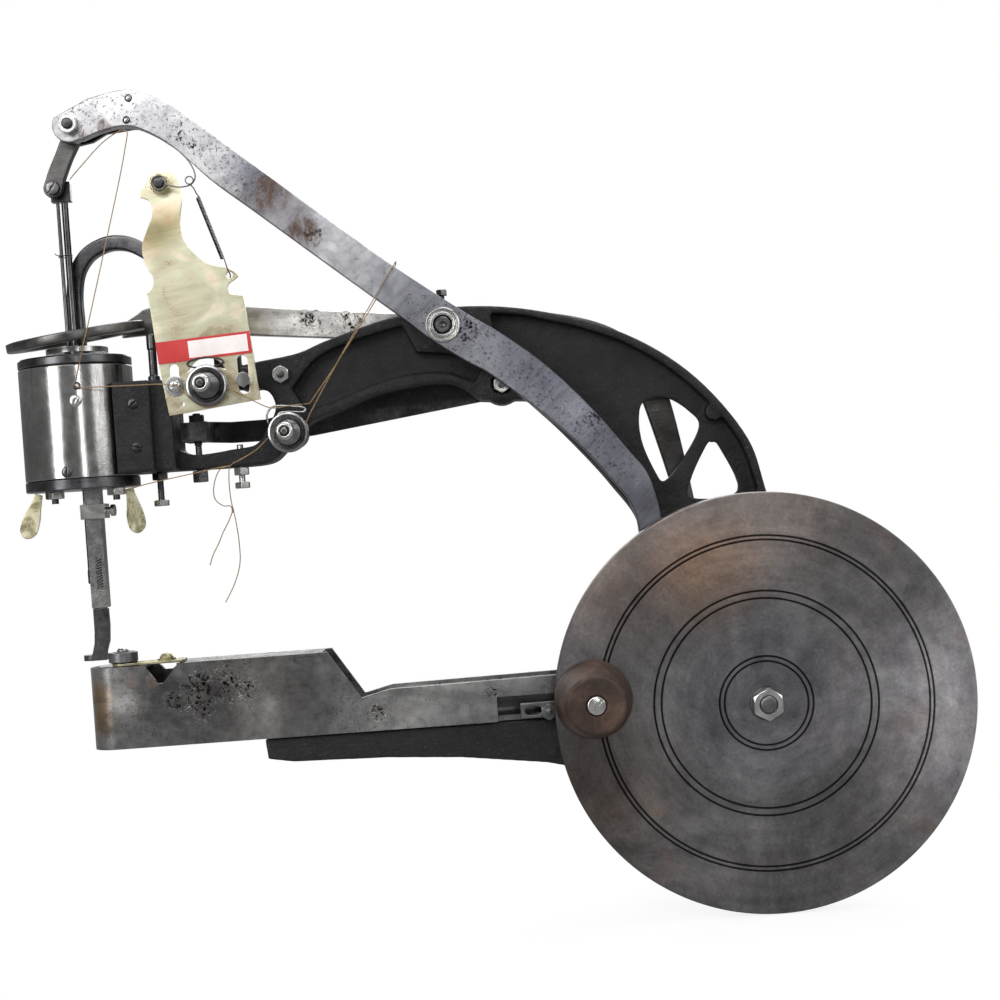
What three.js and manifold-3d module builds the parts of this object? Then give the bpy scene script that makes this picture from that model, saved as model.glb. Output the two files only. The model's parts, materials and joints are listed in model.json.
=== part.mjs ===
// A hand-cranked leather sewing machine (shoe patcher) as a three.js scene graph.
// Millimetres, +Z up. Everything is drawn in the needle frame: the head axis is x = 0, y = 0, the top of
// the lower arm is z = 0, the wheel is on the -Y side, and +X runs from the needle to the wheel. The whole
// group is then moved so that the origin is the middle of the frame's underside, where the machine is held.
import * as THREE from "three";
import { mergeVertices } from "three/addons/utils/BufferGeometryUtils.js";
import Module from "manifold-3d";

const wasm = await Module();
wasm.setup();

// ---- Driving dimensions -------------------------------------------------------------------------------

const GAP = 0.3; // left between pieces that touch

const WHEEL_X = 377;
const WHEEL_Z = -44;
const WHEEL_R = 117;
const WHEEL_FRONT = -38;
const WHEEL_BACK = -24;
const SHAFT_R = 9;
const KNOB_X = 281.5;
const KNOB_Z = -34.5;

const FULCRUM_X = 213; // the stud that the needle lever and the ring lever turn on
const FULCRUM_Z = 180;
const LEVER_NEAR = -16;
const LEVER_FAR = -8;
const PIN_X = 10.4; // the pin at the needle lever's front end
const PIN_Z = 308.3;
const ROLLER_X = 310; // the cam roller at its rear end
const ROLLER_Z = -44;
const LINK_X = -3.6; // the screw at the drop link's lower end
const LINK_Z = 275;

const FRAME_NEAR = -6;
const FRAME_FAR = 18;
const WEB_NEAR = 2;
const WEB_FAR = 8;
const BASE_Z = -80;
const PAD_X0 = 296;
const PAD_X1 = 408;
const PAD_FAR = 30;

const HEAD_R = 32;
const HEAD_BOTTOM = 102;
const HEAD_TOP = 177.5;
const NEEDLE_X = 0.9;
const THROAT_HOLE_R = 2.2; // round the head axis, so that the needle clears it as the head turns
const GUIDE_ROD_X = -3;
const NEEDLE_BAR_R = 2;
const NEEDLE_BORE_R = 2.8;
const BAR_X0 = 0.6; // the presser bar, a square bar with a groove for the needle bar
const BAR_X1 = 9.6;
const BAR_HALF = 4.5;

const ARM_HALF = 15; // half the width of the lower arm
const ARM_WALL = 3;
const ARM_FLOOR = -46.5;
const ARM_END = 289;
const NOSE_X = 11.5; // centre of the arm's round nose
const ROLLER_SCREW_X = 16.8; // the edge guide roller
const SHUTTLE_X = 12;
const SHUTTLE_JOURNAL_R = 3;

const PLATE_NEAR = -20.3;
const PLATE_FAR = -18.5;
const UPPER_TENSION = [78.7, 155];
const LOWER_TENSION = [121, 126];
const LIFT_PIVOT = [244, 145];
const BOW_PIVOT = [88, 179];
const BOW_Y = 8.6;
const TAKE_UP = [60.4, 270];

// ---- Solids -------------------------------------------------------------------------------------------

// A closed geometry as a manifold-3d solid, turned inside out where its faces point inwards.
function solidOf(geometry) {
  const bare = geometry.clone();
  bare.deleteAttribute("normal");
  bare.deleteAttribute("uv");
  const merged = mergeVertices(bare, 1e-4);
  const index = merged.index.array;
  const make = (b, c) => {
    const triVerts = [];
    for (let i = 0; i < index.length; i += 3) {
      const corner = [index[i], index[i + b], index[i + c]];
      if (new Set(corner).size === 3) triVerts.push(...corner);
    }
    return new wasm.Manifold(
      new wasm.Mesh({
        numProp: 3,
        vertProperties: merged.attributes.position.array,
        triVerts: new Uint32Array(triVerts),
      }),
    );
  };
  const solid = make(1, 2);
  return solid.volume() > 0 ? solid : make(2, 1);
}

// A manifold-3d solid as a flat-shaded geometry.
function geometryOf(solid) {
  const mesh = solid.getMesh();
  const geometry = new THREE.BufferGeometry();
  geometry.setAttribute("position", new THREE.BufferAttribute(mesh.vertProperties, 3));
  geometry.setIndex(new THREE.BufferAttribute(mesh.triVerts, 1));
  const flat = geometry.toNonIndexed();
  flat.computeVertexNormals();
  return flat;
}

const join = (first, ...others) => others.reduce((whole, other) => whole.add(other), first);
const cut = (first, ...others) => others.reduce((whole, other) => whole.subtract(other), first);

// ---- Outlines, in the XZ plane ------------------------------------------------------------------------

// A smooth line through a few points, drawn with `count` segments.
function smooth(points, count) {
  return new THREE.SplineCurve(points.map(([x, z]) => new THREE.Vector2(x, z)))
    .getPoints(count)
    .map((p) => [p.x, p.y]);
}

// An arc about a centre, from one angle to another in degrees.
function arc(x, z, radius, from, to, count) {
  return Array.from({ length: count + 1 }, (_, i) => {
    const angle = THREE.MathUtils.degToRad(from + ((to - from) * i) / count);
    return [x + radius * Math.cos(angle), z + radius * Math.sin(angle)];
  });
}

// A slot with round ends between two points.
function slotOutline(x0, z0, x1, z1, radius) {
  const turn = THREE.MathUtils.radToDeg(Math.atan2(z1 - z0, x1 - x0));
  return [
    ...arc(x0, z0, radius, turn + 90, turn + 270, 6),
    ...arc(x1, z1, radius, turn - 90, turn + 90, 6),
  ];
}

const shapeOf = (points) => new THREE.Shape(points.map(([x, z]) => new THREE.Vector2(x, z)));

// An outline in the XZ plane, filled from one y to another.
function slab(points, near, far) {
  const depth = far - near;
  const geometry = new THREE.ExtrudeGeometry(shapeOf(points), { depth, bevelEnabled: false });
  return solidOf(geometry.rotateX(Math.PI / 2).translate(0, far, 0));
}

// An outline in the XY plane, filled from one z to another.
function layer(points, bottom, top) {
  const depth = top - bottom;
  const geometry = new THREE.ExtrudeGeometry(shapeOf(points), { depth, bevelEnabled: false });
  return solidOf(geometry.translate(0, 0, bottom));
}

function box(x0, x1, y0, y1, z0, z1) {
  const geometry = new THREE.BoxGeometry(x1 - x0, y1 - y0, z1 - z0);
  return solidOf(geometry.translate((x0 + x1) / 2, (y0 + y1) / 2, (z0 + z1) / 2));
}

// A cylinder along Y, round or with a few flats.
function alongY(x, z, near, far, radius, sides = 16) {
  const geometry = new THREE.CylinderGeometry(radius, radius, far - near, sides);
  return solidOf(geometry.translate(0, (near + far) / 2, 0).translate(x, 0, z));
}

// A cylinder along Z.
function alongZ(x, y, bottom, top, radius, sides = 16) {
  const geometry = new THREE.CylinderGeometry(radius, radius, top - bottom, sides);
  return solidOf(geometry.rotateX(Math.PI / 2).translate(x, y, (bottom + top) / 2));
}

const HEX = 6;
const hexRadius = (acrossFlats) => acrossFlats / Math.sqrt(3);

// A profile of [radius, y] turned about a line along Y.
function turnedY(x, z, profile, sides = 24) {
  const points = profile.map(([radius, y]) => new THREE.Vector2(radius, y));
  return solidOf(new THREE.LatheGeometry(points, sides).translate(x, 0, z));
}

// A profile of [radius, z] turned about a line along Z.
function turnedZ(x, y, profile, sides = 24) {
  const points = profile.map(([radius, z]) => new THREE.Vector2(radius, z));
  return solidOf(new THREE.LatheGeometry(points, sides).rotateX(Math.PI / 2).translate(x, y, 0));
}

// A straight round bar between two points.
function bar(from, to, radius, sides = 10) {
  const a = new THREE.Vector3(...from);
  const b = new THREE.Vector3(...to);
  const geometry = new THREE.CylinderGeometry(radius, radius, a.distanceTo(b), sides);
  const turn = new THREE.Quaternion().setFromUnitVectors(
    new THREE.Vector3(0, 1, 0),
    b.clone().sub(a).normalize(),
  );
  geometry.applyQuaternion(turn);
  const middle = a.add(b).multiplyScalar(0.5);
  return solidOf(geometry.translate(middle.x, middle.y, middle.z));
}

// A round wire or thread along a smooth curve.
function wire(points, radius, steps, sides = 8) {
  const curve = new THREE.CatmullRomCurve3(points.map((p) => new THREE.Vector3(...p)));
  const section = shapeOf(arc(0, 0, radius, 0, 360 - 360 / sides, sides - 1));
  const options = { steps, extrudePath: curve, bevelEnabled: false };
  return solidOf(new THREE.ExtrudeGeometry(section, options));
}

// ---- Materials ----------------------------------------------------------------------------------------

const finish = (color, roughness, metalness) => ({ color, roughness, metalness });
const CAST_BLACK = finish(0x1c1c1f, 0.7, 0.3);
const CAST_BROWN = finish(0x2a2321, 0.75, 0.3);
const STEEL = finish(0x77787a, 0.45, 1);
const DARK_STEEL = finish(0x3d3d40, 0.5, 1);
const WHEEL_STEEL = finish(0x55504c, 0.5, 1);
const RUSTY = finish(0x5a3d31, 0.75, 0.5);
const ZINC = finish(0xc3c6c4, 0.35, 1);
const YELLOW_ZINC = finish(0xd4c996, 0.4, 0.8);
const SPRING = finish(0x2c2c2e, 0.45, 1);
const LABEL = finish(0xc62a26, 0.5, 0);
const THREAD = finish(0xb08a4c, 0.9, 0);

const machine = new THREE.Group();

function add(name, solid, surface) {
  const mesh = new THREE.Mesh(geometryOf(solid), new THREE.MeshStandardMaterial(surface));
  mesh.name = name;
  machine.add(mesh);
}

// ---- Frame --------------------------------------------------------------------------------------------

// The arch and the column behind the wheel, from the head saddle round to the base.
function frameOutline() {
  const top = [
    [44, 160], [75, 162.5], [102, 167.4], [128, 171], [147, 177.5], [184, 187.5], [224, 191],
    [267, 185.5], [314, 169.7], [352, 143.6], [380.5, 107], [390, 75], [400, 20], [404, -40],
  ];
  const throat = [
    [290, -47], [296, -15], [311, 20], [318, 56], [303, 83], [278, 114], [258, 135],
  ];
  const rib = [
    [231, 137], [212.7, 148], [176, 145], [151, 137], [132, 130], [120, 119], [109, 110], [90, 108.5],
  ];
  return [
    ...smooth(top, 30),
    [404, BASE_Z],
    [290, BASE_Z],
    ...smooth(throat, 16),
    ...smooth(rib, 14),
    [44, 109],
  ];
}

function baseArmOutline() {
  return [
    [95, -47.2], [96, -58.5], [110, -61], [164, -62.6], [206, -65.6], [254, -72], [286, BASE_Z],
    [293, BASE_Z], [293, -47.2],
  ];
}

// The recesses between the edge flanges, each cut from both sides down to the web.
const RECESSES = [
  // the long arch recess from the saddle to the fulcrum
  [...smooth([[124, 151], [140, 168], [165, 177], [190, 182.5], [200, 183]], 10),
    ...smooth([[196, 156], [176, 151], [151, 143], [132, 137]], 8)],
  // from the fulcrum round the rear windows
  [...smooth([[229, 187], [265, 181.8], [311, 166], [348, 140.5], [376, 105.5], [385.5, 75]], 14),
    ...smooth([[381, 66], [350, 66], [327, 66], [312, 86], [288, 115], [264, 140], [252, 158],
      [236, 166]], 14)],
  // the column behind the wheel
  [
    ...smooth([[330, 60], [386, 60], [394, 20], [397, -15]], 8),
    [356, -15], [322, -28], [308, -26], [318, 10],
  ],
];

const FRONT_WINDOW = [
  [57.5, 120], [92, 119.3], [103, 122], [110, 132], [114, 142], [109, 151.5], [94, 153.5], [57.5, 153.5],
];
const REAR_WINDOW = [
  [323, 127], [332.5, 131], [341, 129.5], [351, 121.8], [356, 113], [346, 96], [334, 83], [329, 88],
  [322, 108],
];
const REAR_SLIT = [[362.5, 103], [366.5, 100.5], [375.5, 74], [348.5, 72], [349, 83], [359.5, 102]];

function frameCasting() {
  const arch = slab(frameOutline(), FRAME_NEAR, FRAME_FAR);
  const baseArm = slab(baseArmOutline(), -12, 12);
  const pad = box(PAD_X0, PAD_X1, FRAME_NEAR, PAD_FAR, BASE_Z, BASE_Z + 9);
  const saddle = join(
    box(25, 46, -24, 24, 109, 161),
    box(44, 57, -18.2, 18.2, 109, 160),
  );
  const bosses = [
    alongY(FULCRUM_X, FULCRUM_Z, LEVER_FAR + GAP + 0.2, FRAME_FAR + 1.5, 13, 24),
    alongY(...LIFT_PIVOT, FRAME_NEAR + 2.6, FRAME_FAR + 1, 11.5, 24),
    alongY(...LOWER_TENSION, -9, FRAME_FAR, 9, 20),
    alongY(99, 158, PLATE_FAR + GAP, FRAME_FAR, 6.5, 16),
    alongY(WHEEL_X, WHEEL_Z, FRAME_NEAR, 36, 20, 24),
    alongY(...BOW_PIVOT, FRAME_NEAR, 3.4, 8, 18),
    box(80.5, 95.5, FRAME_NEAR, 3.4, 160, 179),
  ];
  const recessCuts = RECESSES.flatMap((points) => [
    slab(points, FRAME_NEAR - 8, WEB_NEAR),
    slab(points, WEB_FAR, FRAME_FAR + 8),
  ]);
  const recessed = cut(arch, ...recessCuts);
  const body = join(recessed, baseArm, pad, saddle, ...bosses);
  const holes = [
    ...[FRONT_WINDOW, REAR_WINDOW, REAR_SLIT].map((points) => slab(points, -9, 40)),
    alongZ(0, 0, 100, 170, HEAD_R + 0.9, 32),
    alongY(FULCRUM_X, FULCRUM_Z, -20, 40, 6 + GAP, 20),
    alongY(...LIFT_PIVOT, -20, 40, 3 + GAP, 14),
    alongY(...LIFT_PIVOT, -20, FRAME_NEAR + 2.6, 6.2, 16),
    alongY(...LOWER_TENSION, -20, 10, 2 + GAP, 12),
    alongY(99, 157, -20, 0, 2.2 + GAP, 12),
    alongY(60.2, 156, -20, -6, 2 + GAP, 12),
    alongY(WHEEL_X, WHEEL_Z, -30, 50, 10.7 + GAP, 24),
    alongY(...BOW_PIVOT, -10, 10, 3 + GAP, 14),
    alongZ(45.8, -5, 150, 165, 2.2, 12),
    alongZ(213, 8, 184, 196, 2, 12),
    alongY(118.5, 159.5, -10, 4, 2.2, 12),
    ...[[44.5, 122], [67.8, 130], [91.5, 130]].map(([x, top]) => alongZ(x, -2, 100, top, 2 + GAP, 12)),
    ...[314, 390].map((x) => alongZ(x, 23, BASE_Z - 5, BASE_Z + 15, 4.5, 16)),
  ];
  return cut(body, ...holes);
}

add("frame_casting", frameCasting(), CAST_BLACK);

add("fulcrum_stud", join(
  alongY(FULCRUM_X, FULCRUM_Z, -19.5, 30, 4.6, 20),
  alongY(FULCRUM_X, FULCRUM_Z, LEVER_FAR + GAP + 0.4, 19, 6, 20),
  alongY(FULCRUM_X, FULCRUM_Z, 30, 35, hexRadius(15), HEX),
), STEEL);

add("fulcrum_washer", turnedY(FULCRUM_X, FULCRUM_Z, [
  [4.6 + GAP, -18.6], [9.6, -18.6], [9.9, -18.2], [9.9, LEVER_NEAR - GAP], [4.6 + GAP, LEVER_NEAR - GAP],
  [4.6 + GAP, -18.6],
], 28), ZINC);

add("oil_screw", join(
  alongZ(213, 8, 186, 199.5, 1.7, 10),
  alongZ(213, 8, 199, 202.7, hexRadius(6), HEX),
), DARK_STEEL);

add("lug_bolt", join(
  alongY(118.5, 159.5, -8, 3, 1.9, 10),
  alongY(118.5, 159.5, -10.5, FRAME_NEAR - GAP, hexRadius(8.9), HEX),
), ZINC);

add("saddle_post", join(
  alongZ(45.8, -5, 161 + GAP, 188, 2.9, 12),
  alongZ(45.8, -5, 152, 163, 1.9, 10),
), DARK_STEEL);

// The adjusting bolts under the front window: a nut against the casting and a head lower down.
function adjustingBolt(x, nutTop, headBottom, shankTop) {
  return join(
    alongZ(x, -2, headBottom + 1, shankTop, 1.9, 10),
    alongZ(x, -2, nutTop - 4.2, nutTop, hexRadius(8), HEX),
    alongZ(x, -2, headBottom, headBottom + 3.6, hexRadius(8), HEX),
  );
}

add("adjust_bolt_1", adjustingBolt(44.5, 108.6, 89.5, 121), ZINC);
add("adjust_bolt_2", adjustingBolt(67.8, 108.1, 101.5, 121.5), DARK_STEEL);
add("adjust_bolt_3", adjustingBolt(91.5, 108.1, 96.3, 121.5), ZINC);

add("shaft_bush", turnedY(WHEEL_X, WHEEL_Z, [
  [SHAFT_R + GAP, FRAME_NEAR], [10.7, FRAME_NEAR], [10.7, 36], [SHAFT_R + GAP, 36],
  [SHAFT_R + GAP, FRAME_NEAR],
], 28), DARK_STEEL);

// ---- Lower arm ----------------------------------------------------------------------------------------

// A U-shaped steel shell: walls round the nose, and a floor.
function lowerArm() {
  const inner = ARM_HALF - ARM_WALL;
  const plan = (half, end) => [
    ...arc(NOSE_X, 0, half, 90, 270, 20),
    [end, -half],
    [end, half],
  ];
  const side = [
    [-10, -60], [-10, 0], [134, 0], [151.5, -27.3], [168, -23.5], [ARM_END, -22], [ARM_END, -60],
  ];
  const shell = cut(
    layer(plan(ARM_HALF, ARM_END), ARM_FLOOR, 0),
    layer(plan(inner, ARM_END + 5), ARM_FLOOR + ARM_WALL, 5),
  ).intersect(slab(side, -20, 20));
  const notch = slab([[30.5, 1], [30.5, -1.2], [37, -10.8], [40, -10.8], [48.5, -1.2], [48.5, 1]], -20, 0);
  const farNotch = slab([[33, 1], [33, -1.2], [36.5, -5], [41, -5], [46, -1.2], [46, 1]], 0, 20);
  const recess = box(115, 131, -20, -13.5, -4.5, -1.5);
  const cutOut = box(228, ARM_END + 5, -20, -ARM_HALF + 5, -60, -32.4);
  const deck = layer(
    [[150, -inner - 1], [ARM_END, -inner - 1], [ARM_END, inner + 1], [150, inner + 1]],
    -30, -24,
  ).intersect(slab([[160, -27.5], [168, -25.5], [ARM_END, -24], [ARM_END, -30], [160, -30]], -20, 20));
  const cover = box(50, 131, -inner - 1, inner + 1, -2, 0);
  const shuttleBore = alongZ(SHUTTLE_X, 0, ARM_FLOOR - 5, ARM_FLOOR + 10, SHUTTLE_JOURNAL_R + GAP, 16);
  const needleGroove = alongZ(0, 0, -36, 5, THROAT_HOLE_R, 12);
  return join(cut(shell, notch, farNotch, recess, cutOut, shuttleBore, needleGroove), deck, cover);
}

add("lower_arm", lowerArm(), STEEL);

// The throat plate closes the nose; it has the needle hole and ends before the notch.
const plateInner = ARM_HALF - ARM_WALL - GAP;
add("throat_plate", cut(
  layer([...arc(NOSE_X, 0, plateInner, 90, 270, 16), [29.5, -plateInner], [29.5, plateInner]], -2, 0),
  alongZ(0, 0, -5, 5, THROAT_HOLE_R, 12),
), STEEL);

// The edge guide lies over the near wall and carries a small roller.
add("edge_guide_plate", join(
  cut(
    layer([
      ...arc(ROLLER_SCREW_X, -6, 6.5, 90, 270, 10), [50, -13.5], [52, -11.5], [52, 0.5], [50, 2],
    ], GAP, 1.8),
    layer(slotOutline(26, -6, 44, -6, 2.3), -2, 4),
    alongZ(ROLLER_SCREW_X, -6, -2, 4, 1.8 + GAP, 12),
  ),
  turnedZ(41.5, -6, [[0, 1.5], [5.2, 1.5], [5.2, 2.8], [3.8, 2.8], [3.6, 4.2], [2.4, 5.3], [0, 5.7]], 20),
), YELLOW_ZINC);

add("roller_screw", join(
  alongZ(ROLLER_SCREW_X, -6, 0.6, 8.4, 1.8, 12),
  turnedZ(ROLLER_SCREW_X, -6, [[0, 8.3], [3.3, 8.3], [3.1, 9.4], [1.8, 10.2], [0, 10.4]], 16),
), ZINC);

add("guide_roller", turnedZ(ROLLER_SCREW_X, -6, [
  [1.8 + GAP, 2.1], [7.9, 2.1], [8.3, 2.5], [8.3, 7.6], [7.9, 8], [1.8 + GAP, 8], [1.8 + GAP, 2.1],
], 24), STEEL);

// ---- Shuttle drive ------------------------------------------------------------------------------------

const PINION_PITCH_R = 4.5;
const PINION_TEETH = 9;
const PINION_TOP = -33;
const PINION_BOTTOM = -39;
const TOOTH = (2 * Math.PI * PINION_PITCH_R) / PINION_TEETH;
const RACK_TEETH = 9;
const RACK_LEFT = 6.5;

// The shuttle carrier: pinion below, round cup above, and a journal in the floor of the arm.
function shuttleCarrier() {
  const core = PINION_PITCH_R - 1.3;
  const tip = PINION_PITCH_R + 1;
  const teeth = Array.from({ length: PINION_TEETH }, (_, i) => {
    const flanks = [[core - 0.3, -0.75], [tip, -0.3], [tip, 0.3], [core - 0.3, 0.75]];
    const turn = (360 * i) / PINION_TEETH - 90;
    return layer(flanks, PINION_BOTTOM, PINION_TOP).rotate([0, 0, turn]).translate([SHUTTLE_X, 0, 0]);
  });
  return join(
    alongZ(SHUTTLE_X, 0, PINION_BOTTOM, PINION_TOP + 1, core, 18),
    ...teeth,
    alongZ(SHUTTLE_X, 0, ARM_FLOOR + 0.5, PINION_BOTTOM + 1, SHUTTLE_JOURNAL_R, 16),
    turnedZ(SHUTTLE_X, 0, [
      [0, PINION_TOP + 0.5], [8.6, PINION_TOP + 0.5], [8.6, -8], [7.6, -8], [7.6, -30], [0, -30],
    ], 20),
  );
}

add("shuttle", shuttleCarrier(), STEEL);

add("bobbin", turnedZ(SHUTTLE_X, 0, [
  [1.5, -29.6], [7.2, -29.6], [7.2, -28.4], [3, -28.4], [3, -11], [7.2, -11], [7.2, -9.8], [1.5, -9.8],
  [1.5, -29.6],
], 16), ZINC);

// The rack bar lies along the near side; its teeth mesh with the pinion.
function rackBar() {
  const back = -PINION_PITCH_R - 1.5;
  const tip = -PINION_PITCH_R + 0.9;
  const teeth = Array.from({ length: RACK_TEETH }, (_, i) => {
    const x = SHUTTLE_X + (i - 1.5) * TOOTH;
    return layer([
      [x - 0.75, back - 0.3], [x + 0.75, back - 0.3], [x + 0.3, tip], [x - 0.3, tip],
    ], PINION_BOTTOM, PINION_TOP);
  });
  return join(box(RACK_LEFT, 286, back - 3.2, back, PINION_BOTTOM, PINION_TOP), ...teeth);
}

add("rack_bar", rackBar(), DARK_STEEL);

add("slider_link", cut(
  join(
    slab([[241, -36.8], [288, -36.8], [288, -45.5], [241, -45.5]], -16.5, -13.5),
    alongY(257, -42.3, -20.5, -15, 2, 12),
    alongY(257, -42.3, -19.6, -16, hexRadius(8.6), HEX),
  ),
  slab(slotOutline(246, -41.4, 250, -41.4, 2.4), -20, -10),
), STEEL);

// ---- Wheel --------------------------------------------------------------------------------------------

// A thick disc with the cam channel in its back.
function handWheel() {
  const profile = [
    [SHAFT_R + GAP, WHEEL_FRONT],
    [WHEEL_R - 1.2, WHEEL_FRONT],
    [WHEEL_R, WHEEL_FRONT + 1.2],
    [WHEEL_R, WHEEL_BACK - 1.2],
    [WHEEL_R - 1.2, WHEEL_BACK],
    [78, WHEEL_BACK],
    [78, WHEEL_BACK - 7],
    [19, WHEEL_BACK - 7],
    [19, WHEEL_BACK],
    [SHAFT_R + GAP, WHEEL_BACK],
    [SHAFT_R + GAP, WHEEL_FRONT],
  ];
  return cut(turnedY(WHEEL_X, WHEEL_Z, profile, 64), alongY(KNOB_X, KNOB_Z, -50, -20, 4 + GAP, 14));
}

add("hand_wheel", handWheel(), WHEEL_STEEL);

add("main_shaft", join(
  alongY(WHEEL_X, WHEEL_Z, WHEEL_FRONT, 60, SHAFT_R, 28),
  alongY(WHEEL_X, WHEEL_Z, WHEEL_FRONT - 9.5, WHEEL_FRONT + 1, 4.8, 16),
), STEEL);

add("wheel_nut", cut(
  alongY(WHEEL_X, WHEEL_Z, WHEEL_FRONT - 8.3, WHEEL_FRONT - GAP, hexRadius(16), HEX),
  alongY(WHEEL_X, WHEEL_Z, -60, -20, 4.8 + GAP, 16),
), ZINC);

// The rear feed cam: an eccentric drum with a grub screw boss.
add("feed_cam", cut(
  join(
    alongY(WHEEL_X - 2, WHEEL_Z, 38, 50, 26, 36),
    alongY(WHEEL_X, WHEEL_Z, 50, 58, 15, 28),
  ),
  alongY(WHEEL_X, WHEEL_Z, 30, 70, SHAFT_R + GAP, 28),
), CAST_BROWN);

add("crank_knob", turnedY(KNOB_X, KNOB_Z, [
  [4 + GAP, -38.5], [20.5, -38.5], [21.5, -40], [21.5, -45], [19.8, -54], [17.6, -64], [16.4, -71],
  [15, -73], [5.6, -73], [5.6, -71.5], [4 + GAP, -71.5], [4 + GAP, -38.5],
], 28), RUSTY);

add("knob_screw", join(
  alongY(KNOB_X, KNOB_Z, -72, WHEEL_BACK - 3, 4, 14),
  alongY(KNOB_X, KNOB_Z, -73.6, -71.5 - GAP, 4.9, 20),
), ZINC);

// ---- Needle lever -------------------------------------------------------------------------------------

function leverOutline() {
  const upper = [
    [22, 322.7], [41, 326], [53, 324], [66, 317.3], [81, 305.2], [114, 277], [159, 239], [186, 216.6],
    [224, 187.8], [246, 172.7], [271, 152], [295, 125.5], [312, 103], [322.5, 88], [327.5, 70],
    [329.5, 50], [331, 10], [326, -25],
  ];
  const lower = [
    [300, -38], [309, -10], [314.5, 25], [315.5, 55], [312, 71], [303, 84.5], [281, 111.6], [258, 133.2],
    [237, 151], [224, 159.2], [205, 173], [191, 185.2], [157, 213.6], [112, 251.6], [88, 271.8],
    [68, 292], [51, 303], [40, 305.5], [28, 303.6], [17, 299.8],
  ];
  return [
    ...smooth(upper, 30),
    ...arc(ROLLER_X + 1, ROLLER_Z + 1, 13.5, 10, -190, 12),
    ...smooth(lower, 32),
    ...arc(PIN_X, PIN_Z, 9.8, -60, -210, 10),
  ];
}

add("needle_lever", cut(
  join(
    slab(leverOutline(), LEVER_NEAR, LEVER_FAR),
    alongY(ROLLER_X, ROLLER_Z, -30.5, LEVER_NEAR + 1, 3, 16),
  ),
  alongY(FULCRUM_X, FULCRUM_Z, -30, 10, 4.6 + GAP, 20),
  alongY(PIN_X, PIN_Z, -30, 10, 3 + GAP, 16),
  alongY(45, 321, -30, 10, 1.5 + GAP, 12),
  alongY(43, 308.7, -30, 10, 1.5 + GAP, 12),
), STEEL);

// The far cheek of the fork, spaced off the bar and held by two rivets.
add("fork_plate", cut(
  join(
    slab([
      ...arc(PIN_X, PIN_Z, 9.6, 80, 280, 12), [28, 303.9], [44, 305.4], [54, 304.5], [54, 321.5],
      [44, 325], [24, 322.5],
    ], -1.9, 1.6),
    slab([[36, 304.9], [54, 304.5], [54, 321.5], [44, 325], [36, 324]], LEVER_FAR + GAP, -1.5),
    alongY(45, 321, -16.8, 0, 1.5, 12),
    alongY(43, 308.7, -16.8, 0, 1.5, 12),
  ),
  alongY(PIN_X, PIN_Z, -30, 10, 3 + GAP, 16),
), DARK_STEEL);

add("link_pin", join(
  alongY(PIN_X, PIN_Z, -22, 4, 3, 16),
  alongY(PIN_X, PIN_Z, -20.6, LEVER_NEAR - GAP, hexRadius(10), HEX),
  alongY(PIN_X, PIN_Z, 1.6 + GAP, 4.5, hexRadius(9), HEX),
), ZINC);

add("cam_roller", turnedY(ROLLER_X, ROLLER_Z, [
  [3 + GAP, -30.2], [6.5, -30.2], [6.5, -24.6], [3 + GAP, -24.6], [3 + GAP, -30.2],
], 24), STEEL);

// ---- Drop link and needle bar -------------------------------------------------------------------------

add("drop_link", cut(
  join(
    slab([
      ...arc(PIN_X, PIN_Z, 6, 150, -20, 8), [12, 300], [5, 286], [2, 277.5], [-8.4, 277], [-3, 290],
      [2, 300],
    ], -7.6, -2.2),
    alongY(LINK_X, LINK_Z, -7.6, -2.2, 5.4, 20),
  ),
  alongY(PIN_X, PIN_Z, -30, 10, 3 + GAP, 16),
  alongY(LINK_X, LINK_Z, -30, 10, 3.4, 16),
), DARK_STEEL);

add("needle_block", join(
  box(-6.5, 4.8, -1.6, 3.9, 268, 279.5),
  alongY(LINK_X, LINK_Z, -8.5, 0, 1.6, 14),
  alongY(LINK_X, LINK_Z, -10, -8, 4, 16),
), DARK_STEEL);

const BAR_BOTTOM = 48;
const NEEDLE_LENGTH = 41;

add("needle_bar", join(
  alongZ(NEEDLE_X, 0, BAR_BOTTOM, 267.6, NEEDLE_BAR_R, 14),
  alongZ(NEEDLE_X, 0, BAR_BOTTOM, BAR_BOTTOM + 8, NEEDLE_BAR_R + 0.3, 14),
), DARK_STEEL);

add("guide_rod", alongZ(GUIDE_ROD_X, 0, 128, 267.6, 1.05, 10), DARK_STEEL);

add("needle", turnedZ(NEEDLE_X, 0, [
  [0, BAR_BOTTOM - NEEDLE_LENGTH], [0.9, BAR_BOTTOM - NEEDLE_LENGTH + 7], [0.9, BAR_BOTTOM - GAP],
  [0, BAR_BOTTOM - GAP],
], 10), ZINC);

// ---- Head ---------------------------------------------------------------------------------------------

const SLEEVE_R = 13; // bore of the cylinder, in which the turning sleeve runs

add("head_cylinder", cut(
  join(
    turnedZ(0, 0, [
      [0, 107.8 + GAP], [HEAD_R, 107.8 + GAP], [HEAD_R, 172.2 - GAP], [0, 172.2 - GAP],
    ], 32),
    alongY(6.2, 151.2, -33.2, -28, 3.5, 16),
    alongY(-1.2, 111.9, -33.2, -28, 3.2, 16),
    alongY(7.9, 159.4, -34.8, -28, 2.2, 12),
  ),
  alongZ(0, 0, 90, 190, SLEEVE_R, 24),
), STEEL);

add("head_top_cap", cut(
  turnedZ(0, 0, [
    [0, 172.2], [HEAD_R, 172.2], [HEAD_R, HEAD_TOP - 0.6], [HEAD_R - 0.6, HEAD_TOP], [0, HEAD_TOP],
  ], 32),
  alongZ(0, 0, 90, 190, SLEEVE_R, 24),
), DARK_STEEL);

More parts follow.
